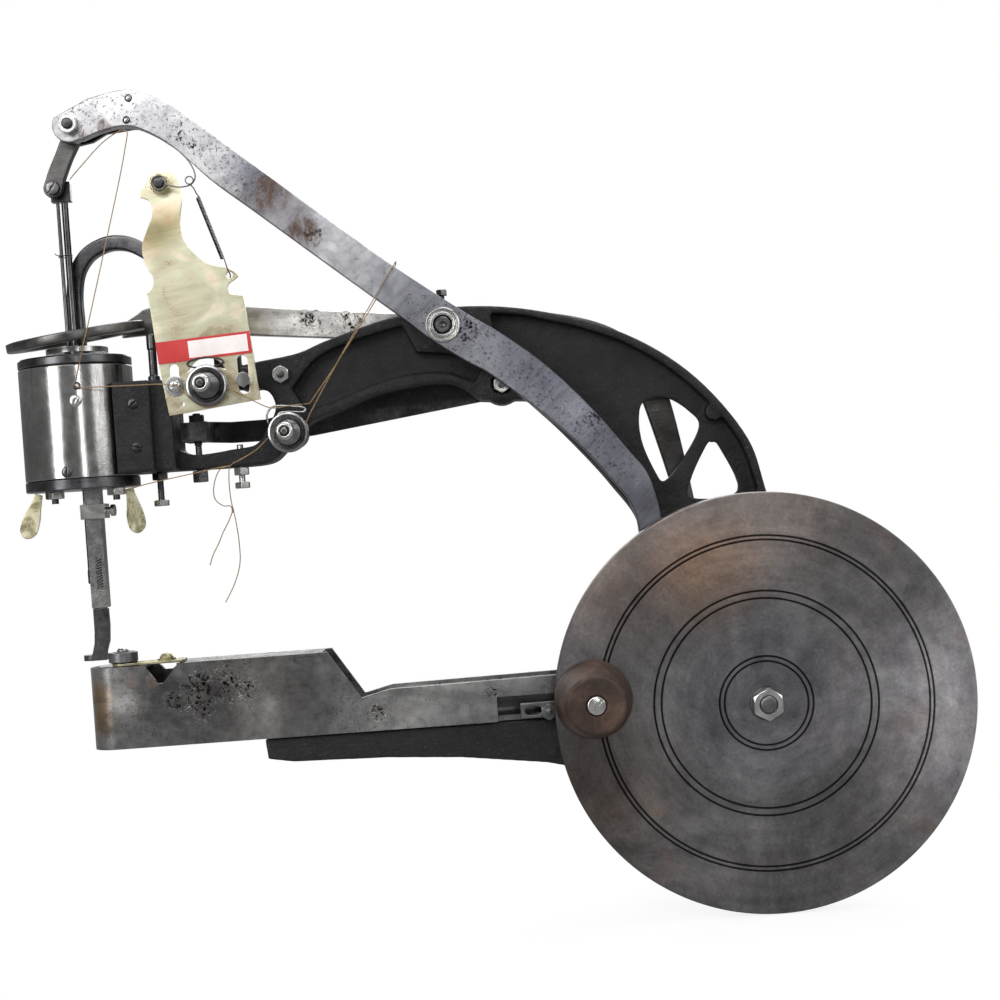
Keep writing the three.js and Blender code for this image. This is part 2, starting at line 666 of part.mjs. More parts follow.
// The bottom cap turns with its sleeve; it carries two hexagon bolts, their ends pointing down.
add("head_swivel", cut(
  join(
    turnedZ(0, 0, [
      [0, HEAD_BOTTOM], [HEAD_R - 0.4, HEAD_BOTTOM], [HEAD_R + 0.2, HEAD_BOTTOM + 0.6],
      [HEAD_R + 0.2, 107.8], [0, 107.8],
    ], 32),
    alongZ(0, 0, 107, HEAD_TOP - 0.6, SLEEVE_R - GAP - 0.2, 24),
    ...[-14.5, 20.5].flatMap((x) => [
      alongZ(x, -9.5, 98, HEAD_BOTTOM + 1, hexRadius(9), HEX),
      alongZ(x, -9.5, 95, HEAD_BOTTOM + 1, 2, 12),
    ]),
  ),
  box(BAR_X0 - GAP, BAR_X1 + GAP, -BAR_HALF - GAP, BAR_HALF + GAP, 90, 180),
  alongZ(NEEDLE_X, 0, 90, 180, NEEDLE_BORE_R, 14),
  alongZ(GUIDE_ROD_X, 0, 90, 190, 1.6, 12),
), DARK_STEEL);

// Zinc wings that hang from the rim of the bottom cap.
function wing(x, y, lean) {
  const drop = smooth([
    [-3.2, -8], [-5, -16], [-4.3, -23], [0, -26], [4.6, -22.5], [5, -15], [3.4, -7],
  ], 16);
  const blade = slab([[-2.2, 0], ...drop, [2.2, 0]], -0.7, 0.7);
  const stem = box(-2.2, 2.2, -2.6, 0.7, -1, 0);
  return join(blade, stem).rotate([0, lean, 0]).translate([x, y, HEAD_BOTTOM - 1.2]);
}

add("wing_left", wing(-22.5, -14, 20), YELLOW_ZINC);
add("wing_right", wing(28, -9, -8), YELLOW_ZINC);

// ---- Presser bar and foot -----------------------------------------------------------------------------

add("presser_bar", cut(
  join(
    box(BAR_X0, BAR_X1, -BAR_HALF, BAR_HALF, 34, 179),
    turnedZ(1.8, 0, [[0, 178.4], [7, 178.4], [7, 180.2], [17.5, 180.2], [17.5, 183.2], [0, 183.2]], 28),
  ),
  alongZ(NEEDLE_X, 0, 30, 190, NEEDLE_BORE_R, 14),
  alongZ(GUIDE_ROD_X, 0, 170, 190, 1.6, 12),
  box(4.6, 8.4, -6, -3.2, 44, 63),
), STEEL);

add("foot_clamp", cut(
  join(
    box(-1.8, 12.4, -6.3, 6.3, 85, 93.5),
    bar([11, 0.5, 89.3], [15.5, 0.5, 89.3], 2.2, 12),
    bar([14.5, 0.5, 89.3], [17, 0.5, 89.3], 3.4, 16),
  ),
  box(BAR_X0 - GAP, BAR_X1 + GAP, -BAR_HALF - GAP, BAR_HALF + GAP, 80, 100),
  alongZ(NEEDLE_X, 0, 80, 100, NEEDLE_BORE_R, 14),
), DARK_STEEL);

// The foot: a flat shank in front of the needle and a toe with the needle hole.
add("presser_foot", cut(
  join(
    slab([
      [1.6, 33.6], [10, 33.6], [10.2, 24], [9.6, 15], [7.8, 9.5], [7.2, 4], [-2, 4], [-0.5, 9],
      [0.8, 14], [1.4, 22],
    ], -5.6, -2.6),
    layer([...arc(-2.2, 0, 4.8, 100, 260, 8), [7.2, -5.6], [7.2, 5.6]], 4, 7.2),
  ),
  alongZ(NEEDLE_X, 0, 0, 40, 1.4, 12),
), DARK_STEEL);

// ---- Bow, ring lever, lift lever ----------------------------------------------------------------------

// The pressure bow: a bent flat bar that stands on the collar and turns on the frame.
function pressureBow() {
  const middle = smooth([
    [1, 184], [1, 200], [1, 215], [3.5, 228], [10, 237.5], [19, 242.5], [28, 243.7], [38, 241],
    [50, 232], [62, 216], [74, 197], [84, 184],
  ], 24);
  const side = (sign) => middle.map(([x, z], i) => {
    const [ax, az] = middle[Math.max(i - 1, 0)];
    const [bx, bz] = middle[Math.min(i + 1, middle.length - 1)];
    const length = Math.hypot(bx - ax, bz - az);
    return [x - (sign * 4.3 * (bz - az)) / length, z + (sign * 4.3 * (bx - ax)) / length];
  });
  const bow = slab([...side(1), ...side(-1).reverse()], BOW_Y - 4.3, BOW_Y + 4.3);
  return cut(
    join(bow, alongY(...BOW_PIVOT, BOW_Y - 4.3, BOW_Y + 4.3, 8, 20)),
    alongY(...BOW_PIVOT, 0, 20, 3 + GAP, 14),
  );
}

add("pressure_bow", pressureBow(), DARK_STEEL);

add("bow_bolt", join(
  alongY(...BOW_PIVOT, -7, 14, 3, 14),
  alongY(...BOW_PIVOT, -9, FRAME_NEAR - GAP, hexRadius(10), HEX),
  alongY(...BOW_PIVOT, 13, 16, 5.5, 16),
), DARK_STEEL);

// The ring lever: a flat ring round the needle bar, on a bar that runs behind the frame to the rear cam.
const RING_TILT = -6.5;
const RING_DIP = 5.5; // the near side of the ring lies lower
function ringLever() {
  const ring = turnedZ(0, 0, [[29, -2.7], [39.5, -2.7], [39.5, 2.7], [29, 2.7], [29, -2.7]], 32)
    .rotate([RING_DIP, RING_TILT, 0])
    .translate([1.8, 0, 190]);
  const barOutline = [
    ...smooth([[24, 197.5], [33, 202.5], [40, 206], [60, 207.2], [98, 203], [186, 192.5], [213, 191.5],
      [250, 190], [290, 183], [317, 171], [335, 150], [343, 125], [352, 70], [357, 30], [360, 0]], 28),
    [361, -15], [356, -22], [349, -16],
    ...smooth([[347, 0], [344, 40], [342, 66], [331, 112], [322, 140], [308, 158], [285, 168],
      [250, 173], [213, 169], [186, 176], [98, 186], [60, 190], [40, 190.5], [24, 190]], 26),
  ];
  const follower = alongY(355.6, -15.2, 20, 48, 7, 20);
  return cut(
    join(ring, slab(barOutline, 20, 26), alongY(FULCRUM_X, FULCRUM_Z, 20, 29, 12, 24), follower),
    alongY(FULCRUM_X, FULCRUM_Z, 10, 40, 4.6 + GAP, 20),
  );
}

add("ring_lever", ringLever(), STEEL);

// The lift lever: a bar behind the lower rib, with a foot that comes forward into the front window.
function liftLever() {
  const outline = [
    [59, 129], [66, 137.5], [84, 136], [104, 136], [131, 141], [176, 150], [232, 155],
    ...arc(...LIFT_PIVOT, 9.5, 110, -110, 12),
    [231, 137.2], [180, 131], [131, 124.6], [104, 123.6], [84, 123.8], [70, 125],
  ];
  const forkBolt = join(
    alongZ(67.8, -2, 122.5, 141, 2.2, 12),
    alongZ(67.8, -2, 135, 140, hexRadius(8), HEX),
  );
  return cut(
    join(slab(outline, 19.8, 25.4), box(59, 74, -7, 21, 125, 136), forkBolt),
    alongY(...LIFT_PIVOT, 10, 40, 3 + GAP, 16),
  );
}

add("lift_lever", liftLever(), CAST_BLACK);

add("lift_pivot_bolt", join(
  alongY(...LIFT_PIVOT, -7.6, 27, 3, 14),
  alongY(...LIFT_PIVOT, -7.4, FRAME_NEAR + 2.6 - GAP, hexRadius(9), HEX),
  alongY(...LIFT_PIVOT, 25.8, 29, hexRadius(9), HEX),
), ZINC);

// ---- Tension plate and thread controls ----------------------------------------------------------------

function tensionPlate() {
  const outline = [
    [55.8, 139.6],
    ...smooth([[52, 168], [49, 204.6], [48.2, 209]], 4),
    ...smooth([[51.5, 212.5], [52.3, 218], [49.8, 223], [47.8, 228.5], [47.4, 236.3], [51.5, 246.7],
      [54.1, 252.2], [54.6, 257.8], [52.6, 261.7], [48.3, 263.7]], 16),
    ...smooth([[48.9, 267.9], [51.5, 269.4], [54.8, 275], [59.3, 277.5], [63.4, 277.5], [67.8, 275.5],
      [70.3, 271.4], [71.7, 261.7], [69.8, 249.4], [71.2, 238], [76.2, 230.3], [82.1, 224.7],
      [88.4, 222], [93.7, 220.8], [98.6, 217.9], [99.8, 215], [94.1, 210.9], [94.9, 205.7]], 26),
    [102.4, 204], [104, 185], [105.4, 171.6], [107.7, 145.4],
  ];
  return cut(
    slab(outline, PLATE_NEAR, PLATE_FAR),
    slab(slotOutline(60.2, 155, 60.2, 166, 2.7), -30, -10),
    slab(slotOutline(99, 152, 99, 168, 2.9), -30, -10),
    slab([...arc(78.7, 160, 11, 160, 20, 10), [86, 165], [71.4, 165]], -30, -10),
    alongY(95.4, 216.4, -30, -10, 1.9, 12),
    alongY(...TAKE_UP, -30, -10, 3 + GAP, 14),
    alongY(...UPPER_TENSION, -30, -10, 3 + GAP, 14),
    alongY(63.9, 145.8, -30, -10, 1, 10),
  );
}

add("tension_plate", tensionPlate(), YELLOW_ZINC);

add("plate_label", slab([
  [50.9, 181.3], [104.3, 184.2], [105.1, 171.8], [52, 168.9],
], -21, PLATE_NEAR - GAP), LABEL);

add("plate_screw", join(
  alongY(60.2, 156, -21.4, PLATE_NEAR - GAP, 5.7, 20),
  alongY(60.2, 156, -23.4, -21, 3.6, 16),
  alongY(60.2, 156, -22, -12, 2, 12),
), ZINC);

add("plate_bolt", join(
  alongY(99, 157, -23.8, PLATE_NEAR - GAP, hexRadius(7.9), HEX),
  alongY(99, 157, -22, -8, 2.2, 12),
), ZINC);

add("plate_stud", join(
  alongY(...TAKE_UP, -28, -17, 3, 14),
  alongY(...TAKE_UP, -25.5, PLATE_NEAR - GAP, hexRadius(10), HEX),
  alongY(...TAKE_UP, PLATE_FAR + GAP, LEVER_NEAR - 0.4, 4.6, 16),
), DARK_STEEL);

// A tension: two dished discs and a cone spring on a post, and a nut that presses the spring.
function tension(name, [x, z], rear, stack) {
  add(name + "_discs", join(
    turnedY(x, z, [
      [0, rear], [4, rear], [4, rear - 1.6], [10.6, rear - 1.1], [11.6, rear - 1.7], [8, rear - 3],
      [11.6, rear - 4.3], [10.6, rear - 4.9], [4, rear - 4.4], [4, rear - 5], [0, rear - 5],
    ], 24),
    turnedY(x, z, [
      [0, rear - 3.6], [7, rear - 3.6], [4.9, rear - stack + 6.4], [0, rear - stack + 6.4],
    ], 16),
    alongY(x, z, rear - stack - 1.6, rear + 9, 2, 12),
  ), DARK_STEEL);
  add(name + "_nut", turnedY(x, z, [
    [2 + GAP, rear - stack + 6], [5, rear - stack + 6], [5.4, rear - stack + 5.4],
    [5.4, rear - stack + 0.6], [5, rear - stack], [2 + GAP, rear - stack],
    [2 + GAP, rear - stack + 6],
  ], 16), ZINC);
}

tension("upper_tension", UPPER_TENSION, PLATE_NEAR - 0.8, 26);
tension("lower_tension", LOWER_TENSION, -9.6, 22);

// The take-up wire turns on the top stud; the extension spring pulls its bend down to the plate.
add("take_up_wire", join(
  turnedY(...TAKE_UP, [
    [3 + GAP, -27.4], [4.7, -27.4], [4.7, -25.9], [3 + GAP, -25.9], [3 + GAP, -27.4],
  ], 20),
  wire([
    [64.4, -26.6, 269], [68, -26.4, 267.6], [72, -25.6, 266.8], [78, -24.4, 268], [80.8, -24, 272.6],
    [78.5, -24, 280], [72.5, -24, 287.5], [65.5, -24, 293],
  ], 0.4, 20, 6),
), SPRING);

add("extension_spring", bar([79.6, -24.2, 264.8], [94.2, -23.4, 219.3], 1.35, 8), SPRING);

// ---- Thread -------------------------------------------------------------------------------------------

const THREAD_R = 0.3;

// The threaded run: lower tension, round the needle lever, upper tension, head eyelet, lever, drop link.
add("thread_run", wire([
  [131, -12.6, 129.6], [136, -16, 138], [154, -17.4, 166], [175, -17.4, 197], [187.2, -17.5, 214.6],
  [191, -12, 219.6], [187.2, -6.6, 214.6], [175, -6.7, 197], [152, -7.2, 165], [134, -10, 141.5],
  [124, -17, 140.8], [113, -22.5, 140], [100, -24, 147], [89.2, -24.4, 152.4], [86, -24.1, 145.8],
  [78.7, -24.1, 142.6], [71.4, -24.1, 145.8], [66.2, -25.6, 151.5], [59, -25.6, 156.8], [36, -31, 157.6],
  [9.5, -35.4, 158.4], [9, -36.8, 163], [13.6, -39, 178], [18.6, -38.8, 194], [28, -30, 233.5],
  [38, -20, 277], [43.4, -17.3, 301], [40, -16.9, 303], [28, -13.5, 297.5], [13.6, -9.6, 285.5],
  [6.8, -8.7, 279],
], THREAD_R, 76, 5), THREAD);

// The loose end: from the lower tension to the left, then hanging free under the front window.
add("thread_tail", wire([
  [109.4, -13.4, 123.6], [103, -16, 117.5], [95, -18, 113], [88, -18.8, 109.5], [86.6, -19, 104],
  [86.4, -19, 96], [87, -19, 88], [88.6, -19, 78], [89.6, -19, 66], [89.2, -19, 54], [85.5, -19, 43],
  [79.5, -19, 32.5],
], THREAD_R, 32), THREAD);

const home = new THREE.Group();
home.position.set(-(PAD_X0 + PAD_X1) / 2, -(FRAME_NEAR + PAD_FAR) / 2, -BASE_Z);
home.add(machine);

const part = new THREE.Group();
part.add(home);

export default part;
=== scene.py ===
# The looks of a hand-cranked leather sewing machine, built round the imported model.
# Shapes are given in millimetres in the needle frame of the machine: the head axis is x = 0, y = 0, the top
# of the lower arm is z = 0, and the wheel is on the -Y side. at() turns them into metres in the row frame.
import json
import math

import bmesh
import bpy
from mathutils import Euler, Matrix, Vector


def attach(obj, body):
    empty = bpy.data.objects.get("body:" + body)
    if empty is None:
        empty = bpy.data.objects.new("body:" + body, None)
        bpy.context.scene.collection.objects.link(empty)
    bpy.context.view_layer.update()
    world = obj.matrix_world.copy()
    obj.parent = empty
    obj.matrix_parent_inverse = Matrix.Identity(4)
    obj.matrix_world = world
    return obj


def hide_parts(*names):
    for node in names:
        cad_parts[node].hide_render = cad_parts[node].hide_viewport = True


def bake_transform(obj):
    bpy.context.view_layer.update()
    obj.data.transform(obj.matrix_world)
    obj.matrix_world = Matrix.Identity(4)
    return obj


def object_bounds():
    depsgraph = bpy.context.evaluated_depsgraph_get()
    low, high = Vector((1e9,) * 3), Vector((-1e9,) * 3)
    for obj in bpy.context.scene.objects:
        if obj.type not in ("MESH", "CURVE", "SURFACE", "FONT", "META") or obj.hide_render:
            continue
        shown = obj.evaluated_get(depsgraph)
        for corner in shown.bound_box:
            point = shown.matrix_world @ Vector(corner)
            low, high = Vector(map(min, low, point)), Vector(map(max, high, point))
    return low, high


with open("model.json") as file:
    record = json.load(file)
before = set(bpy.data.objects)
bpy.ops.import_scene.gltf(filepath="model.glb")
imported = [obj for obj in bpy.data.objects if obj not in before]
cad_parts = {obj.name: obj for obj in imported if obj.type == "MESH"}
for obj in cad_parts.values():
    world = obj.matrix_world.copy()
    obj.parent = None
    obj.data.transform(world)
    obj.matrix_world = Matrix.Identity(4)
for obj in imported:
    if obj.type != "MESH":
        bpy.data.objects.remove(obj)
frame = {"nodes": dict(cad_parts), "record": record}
CAD_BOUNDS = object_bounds()

RECORD = frame["record"]
BODY = {node: body for body, nodes in RECORD["behaviour"]["bodies"].items() for node in nodes}
SLOT = {part["node"]: part["material_slot"] for part in RECORD["subparts"]}

ORIGIN = Vector((352, 12, -80))
MM = 0.001


# The axes that several pieces share.
FULCRUM = (213, 0, 180)
LINK_PIN = (10.4, 0, 308.3)
LINK_SCREW = (-3.6, 0, 275)
LIFT_PIVOT = (244, 0, 145)
BOW_EYE = (88, 0, 179)
WHEEL = (377, 0, -44)
KNOB = (281.5, 0, -34.5)
PLATE_STUD = (60.4, 0, 270)
OIL_SCREW = (213, 8, 0)
HEAD_RADIUS = 32


def at(x, y, z):
    return (Vector((x, y, z)) - ORIGIN) * MM


# ---- Camera -------------------------------------------------------------------------------------------

TILT = math.radians(4.2)  # the machine stands turned by this much in the view
EYE = at(238.1, -1000, 78.8)
SENSOR_WIDTH = 36
LENS = 62.6
camera_data = bpy.data.cameras.new("camera")
camera_data.sensor_width = SENSOR_WIDTH
camera_data.lens = LENS
camera_data.clip_start = 0.05
camera = bpy.data.objects.new("camera", camera_data)
bpy.context.scene.collection.objects.link(camera)
camera.matrix_world = (
    Matrix.Translation(EYE)
    @ Matrix.Rotation(TILT, 4, "Y")
    @ Matrix.Rotation(math.radians(90), 4, "X")
)
bpy.context.scene.camera = camera


# ---- Shading ------------------------------------------------------------------------------------------


WHITE = (1.0, 1.0, 1.0)


class Shader:
    """A node material put together in a few lines."""

    def __init__(self, name):
        self.material = bpy.data.materials.new(name)
        self.material.use_nodes = True
        self.tree = self.material.node_tree
        self.bsdf = self.tree.nodes["Principled BSDF"]
        self.coords = self.node("ShaderNodeTexCoord").outputs["Object"]

    def put(self, socket, value):
        if isinstance(value, bpy.types.NodeSocket):
            self.tree.links.new(value, socket)
        elif value is not None:
            socket.default_value = value

    def node(self, kind, inputs=(), **settings):
        made = self.tree.nodes.new(kind)
        for key, value in settings.items():
            setattr(made, key, value)
        for key, value in dict(inputs).items():
            self.put(made.inputs[key], value)
        return made

    def math(self, operation, a, b=None, c=None):
        made = self.node("ShaderNodeMath", operation=operation)
        for socket, value in zip(made.inputs, (a, b, c)):
            self.put(socket, value)
        return made.outputs[0]

    def times(self, a, b):
        return self.math("MULTIPLY", a, b)

    def noise(self, scale, detail=4.0, roughness=0.6, distortion=0.0, vector=None):
        made = self.node("ShaderNodeTexNoise", {
            "Vector": vector or self.coords, "Scale": scale, "Detail": detail,
            "Roughness": roughness, "Distortion": distortion,
        })
        return made.outputs["Fac"]

    def stretched(self, scale, turn=(0, 0, 0)):
        """The object's coordinates turned and scaled by different amounts along each axis."""
        turned = self.node("ShaderNodeMapping", {"Vector": self.coords, "Rotation": turn})
        return self.node("ShaderNodeMapping", {"Vector": turned.outputs[0], "Scale": scale}).outputs[0]

    def span(self, value, low, high, to_low=0.0, to_high=1.0):
        made = self.node("ShaderNodeMapRange", {
            "Value": value, "From Min": low, "From Max": high, "To Min": to_low, "To Max": to_high,
        })
        return made.outputs[0]

    def ramp(self, value, stops):
        made = self.node("ShaderNodeValToRGB", {"Fac": value})
        elements = made.color_ramp.elements
        while len(elements) < len(stops):
            elements.new(0.5)
        for element, (position, color) in zip(elements, stops):
            element.position = position
            element.color = (*color, 1)
        return made.outputs[0]

    def mix(self, factor, a, b, blend="MIX"):
        made = self.node("ShaderNodeMix", data_type="RGBA", blend_type=blend)
        self.put(made.inputs[0], factor)
        for socket, value in ((made.inputs[6], a), (made.inputs[7], b)):
            self.put(socket, (*value, 1) if isinstance(value, tuple) else value)
        return made.outputs[2]

    def darken(self, share, color, value, low, high, tone):
        """The color multiplied by a tone where a value is low, and kept where it is high."""
        return self.mix(share, color, self.ramp(value, [(low, tone), (high, WHITE)]), "MULTIPLY")

    def toned(self, color, tints_and_painted_light):
        """The color multiplied by a tone round each of a few points, (x, y, z, reach, tone): tints, and
        painted highlight and shade.
        """
        for x, y, z, reach, tone in tints_and_painted_light:
            color = self.mix(self.near(x, y, z, reach), color, tone, "MULTIPLY")
        return color

    def near(self, x, y, z, reach):
        """1 at a point of the machine, falling to 0 at a distance in mm."""
        away = self.node("ShaderNodeVectorMath", {0: self.coords, 1: at(x, y, z)}, operation="DISTANCE")
        return self.span(away.outputs["Value"], reach * MM, reach * 0.25 * MM)

    def patches(self, places, noise_scale=90.0, cover=0.5):
        """Ragged patches round a few points."""
        total = None
        for place in places:
            one = self.near(*place)
            total = one if total is None else self.math("MAXIMUM", total, one)
        ragged = self.noise(noise_scale, 8, 0.7)
        return self.span(self.math("MULTIPLY", total, ragged), cover * 0.62, cover * 0.92)

    def bump(self, height, depth_mm, strength=1.0, normal=None):
        made = self.node("ShaderNodeBump", {
            "Height": height, "Distance": depth_mm * MM, "Strength": strength,
        })
        self.put(made.inputs["Normal"], normal)
        return made.outputs[0]

    def done(self, color, roughness, metallic, normal=None, **fixed):
        self.put(self.bsdf.inputs["Base Color"], color)
        self.put(self.bsdf.inputs["Roughness"], roughness)
        self.put(self.bsdf.inputs["Metallic"], metallic)
        self.put(self.bsdf.inputs["Normal"], normal)
        for key, value in fixed.items():
            self.bsdf.inputs[key.replace("_", " ")].default_value = value
        return self.material


RUST = (0.04, 0.022, 0.014)
RUST_LIGHT = (0.105, 0.056, 0.032)


def steel(name, dark, mid, light, rough=(0.28, 0.5), grain=(0, 0, 0), pits=(), rust=(), stain=0.35,
          tints_and_painted_light=(), specks=(), waves=0.0, brush=0.4):
    """Bare worn steel: cloudy tone, fine scratches along its grain, pits and rust where they are, and painted
    highlight and shade round given points.
    """
    s = Shader(name)
    cloud = s.noise(14.0, 6, 0.62, 0.4)
    fine = s.noise(160, 8, 0.72)
    color = s.ramp(cloud, [(0.32, dark), (0.5, mid), (0.68, light)])
    color = s.toned(color, tints_and_painted_light)
    color = s.darken(0.55, color, fine, 0.3, 0.7, (0.55, 0.55, 0.55))
    smear = s.span(s.noise(1.0, 6, 0.7, 0.5, vector=s.stretched((12, 60, 90), grain)), 0.5, 0.7)
    color = s.mix(s.times(smear, 0.55), color, (0.3, 0.29, 0.28), "MULTIPLY")
    scratch = s.noise(1.0, 3, 0.6, vector=s.stretched((40, 1500, 2600), grain))
    lines = s.span(scratch, 0.56, 0.68)
    color = s.mix(s.times(lines, brush), color, light)
    # Thin brown stains.
    brown = s.span(s.noise(46, 9, 0.75, 0.6), 0.56, 0.72, 0, stain)
    color = s.mix(brown, color, (0.12, 0.075, 0.05))
    roughness = s.span(fine, 0.25, 0.75, *rough)
    roughness = s.math("SUBTRACT", roughness, s.times(lines, 0.2 * brush))
    metallic = 1.0
    height = s.math("ADD", s.times(scratch, 0.35), s.noise(900, 2, 0.5))
    normal = s.bump(height, 0.05, 0.5)
    if waves:
        normal = s.bump(s.noise(26, 3, 0.5), waves, 0.7, normal)
    if specks:
        area = s.patches(specks, 60, 0.4)
        dots = s.times(area, s.span(s.noise(620, 6, 0.72), 0.54, 0.63))
        color = s.mix(s.times(dots, 0.8), color, (0.03, 0.027, 0.025))
        roughness = s.math("MAXIMUM", roughness, s.times(dots, 0.7))
    if pits:
        cells = s.node("ShaderNodeTexVoronoi", {
            "Vector": s.coords, "Scale": 430.0, "Randomness": 1.0}, feature="F1").outputs["Distance"]
        worm = s.span(s.noise(280, 5, 0.65, 1.4), 0.5, 0.54)
        area = s.patches(pits, 130, 0.45)
        pit = s.times(area, s.times(worm, s.span(cells, 0.7, 0.4)))
        color = s.mix(s.times(area, 0.15), color, (0.5, 0.46, 0.42), "MULTIPLY")
        color = s.mix(s.times(pit, 0.97), color, (0.008, 0.006, 0.005))
        roughness = s.math("MAXIMUM", roughness, s.times(pit, 0.85))
        normal = s.bump(s.times(pit, -1.0), 0.6, 1.0, normal)
    if rust:
        streaks = s.span(s.noise(1.0, 8, 0.75, 0.4, vector=s.stretched((160, 160, 60))), 0.38, 0.6)
        area = s.times(s.patches(rust, 110, 0.4), streaks)
        tone = s.ramp(s.noise(300, 6, 0.7), [(0.35, RUST), (0.65, RUST_LIGHT)])
        color = s.mix(s.times(area, 0.85), color, tone)
        roughness = s.math("MAXIMUM", roughness, s.times(area, 0.8))
        metallic = s.math("SUBTRACT", 1.0, s.times(area, 0.85))
        normal = s.bump(s.times(area, s.noise(1100, 3, 0.6)), 0.12, 0.8, normal)
    return s.done(color, roughness, metallic, normal)


def casting(name, dark, light, shine=0.55, grit=1.0):
    """Sand-cast iron under thin paint: gritty, with pale specks that stand for dust and for painted sparkle,
    and rubbed high spots.
    """
    s = Shader(name)
    sand = s.noise(620, 6, 0.68)
    lumps = s.noise(120, 4, 0.6)
    cloud = s.noise(22, 5, 0.6)
    color = s.ramp(cloud, [(0.3, dark), (0.7, light)])
    # Pale specks: dust, and painted sparkle where the grit would glint.
    specks = s.span(s.noise(700, 4, 0.65), 0.6, 0.68)
    color = s.mix(s.times(specks, 0.5), color, tuple(5.5 * c for c in light))
    worn = s.span(s.node("ShaderNodeNewGeometry").outputs["Pointiness"], 0.53, 0.6)
    worn = s.times(worn, s.span(s.noise(70, 6, 0.7), 0.45, 0.65))
    color = s.mix(s.times(worn, 0.7), color, (0.17, 0.17, 0.17))
    roughness = s.span(lumps, 0.3, 0.7, shine - 0.16, shine + 0.1)
    roughness = s.math("SUBTRACT", roughness, s.times(worn, 0.2))
    height = s.math("ADD", s.times(sand, 1.0), s.times(lumps, 1.6))
    normal = s.bump(height, 0.9 * grit, 1.0)
    return s.done(color, roughness, s.times(worn, 0.8), normal, Specular_IOR_Level=0.3)


def turned_iron(name, centre, grooves, tints_and_painted_light):
    """The wheel's face: turned rings in dark patinated iron, with brown stains and scuffs, painted
    highlights, and painted shade in its grooves.
    """
    s = Shader(name)
    offset = s.node("ShaderNodeVectorMath", {0: s.coords, 1: at(*centre)}, operation="SUBTRACT").outputs[0]
    parts = s.node("ShaderNodeSeparateXYZ", {0: offset})
    x, z = parts.outputs["X"], parts.outputs["Z"]
    radius = s.math("SQRT", s.math("ADD", s.times(x, x), s.times(z, z)))
    angle = s.math("ARCTAN2", z, x)
    ring_coords = s.node("ShaderNodeCombineXYZ", {
        "X": s.times(radius, 2400.0), "Y": s.times(angle, 2.2), "Z": parts.outputs["Y"],
    }).outputs[0]
    rings = s.noise(1.0, 4, 0.6, vector=ring_coords)
    broad_coords = s.node("ShaderNodeCombineXYZ", {
        "X": s.times(radius, 130.0), "Y": s.times(angle, 0.9), "Z": 0.0,
    }).outputs[0]
    broad = s.noise(1.0, 5, 0.6, 0.3, vector=broad_coords)
    cloud = s.noise(13, 8, 0.68, 0.5)
    fine = s.noise(120, 8, 0.75)
    tone = s.math("ADD", s.times(cloud, 0.8), s.times(broad, 0.2))
    color = s.ramp(tone, [
        (0.3, (0.09, 0.087, 0.09)), (0.46, (0.18, 0.176, 0.183)), (0.56, (0.27, 0.265, 0.272)),
        (0.7, (0.44, 0.433, 0.435)),
    ])
    color = s.toned(color, tints_and_painted_light)
    color = s.darken(0.6, color, fine, 0.3, 0.7, (0.55, 0.53, 0.52))
    grit = s.noise(520, 5, 0.7)
    color = s.darken(0.6, color, grit, 0.35, 0.65, (0.6, 0.58, 0.57))
    color = s.darken(0.18, color, rings, 0.35, 0.65, (0.6, 0.6, 0.6))
    stain = s.span(s.noise(24, 10, 0.76, 0.8), 0.5, 0.68)
    edge = s.times(s.span(radius, 0.066, 0.08), s.span(s.noise(9, 3, 0.5), 0.42, 0.58))
    brown = s.times(stain, s.math("ADD", s.times(edge, 0.5), 0.08))
    color = s.mix(brown, color, (0.15, 0.08, 0.047))
    bloom = s.times(s.span(s.noise(75, 9, 0.8), 0.6, 0.7), 0.35)
    color = s.mix(bloom, color, (0.3, 0.3, 0.29))
    for turn in (0.7, 1.9, 2.8):
        lines = s.noise(1.0, 2, 0.5, 0.3, vector=s.stretched((1300, 40, 60), (0, turn, 0)))
        scuffs = s.times(s.span(lines, 0.68, 0.75), s.span(s.noise(30, 3, 0.6), 0.5, 0.6))
        color = s.mix(s.times(scuffs, 0.4), color, (0.36, 0.35, 0.33))
    # Near-black bands along the turned grooves: painted shade in the grooves.
    cut = None
    for groove in grooves:
        band = s.span(s.math("ABSOLUTE", s.math("SUBTRACT", radius, groove * MM)), 0.7 * MM, 0.3 * MM)
        cut = band if cut is None else s.math("MAXIMUM", cut, band)
    color = s.mix(s.times(cut, 0.85), color, (0.012, 0.01, 0.009))
    roughness = s.math("ADD", s.span(fine, 0.3, 0.7, 0.3, 0.48), s.times(brown, 0.25))
    roughness = s.math("MAXIMUM", roughness, s.times(cut, 0.8))
    metallic = s.math("SUBTRACT", 1.0, s.times(brown, 0.5))
    height = s.math("ADD", s.times(rings, 0.8), s.times(s.noise(700, 3, 0.6), 0.6))
    return s.done(color, roughness, metallic, s.bump(height, 0.045, 0.6))


def rusty(name):
    """Brown rust, rubbed to bare iron in places."""
    s = Shader(name)
    cloud = s.noise(60, 8, 0.7, 0.6)
    fine = s.noise(420, 7, 0.75)
    color = s.ramp(cloud, [
        (0.3, (0.02, 0.012, 0.009)), (0.5, (0.055, 0.031, 0.022)), (0.7, (0.12, 0.068, 0.048))])
    color = s.darken(0.6, color, fine, 0.3, 0.7, (0.45, 0.42, 0.4))
    rubbed = s.span(s.noise(35, 5, 0.6), 0.52, 0.66)
    roughness = s.span(rubbed, 0, 1, 0.68, 0.42)
    height = s.math("ADD", fine, s.times(cloud, 0.6))
    return s.done(color, roughness, s.span(rubbed, 0, 1, 0.25, 0.6), s.bump(height, 0.12, 0.7))


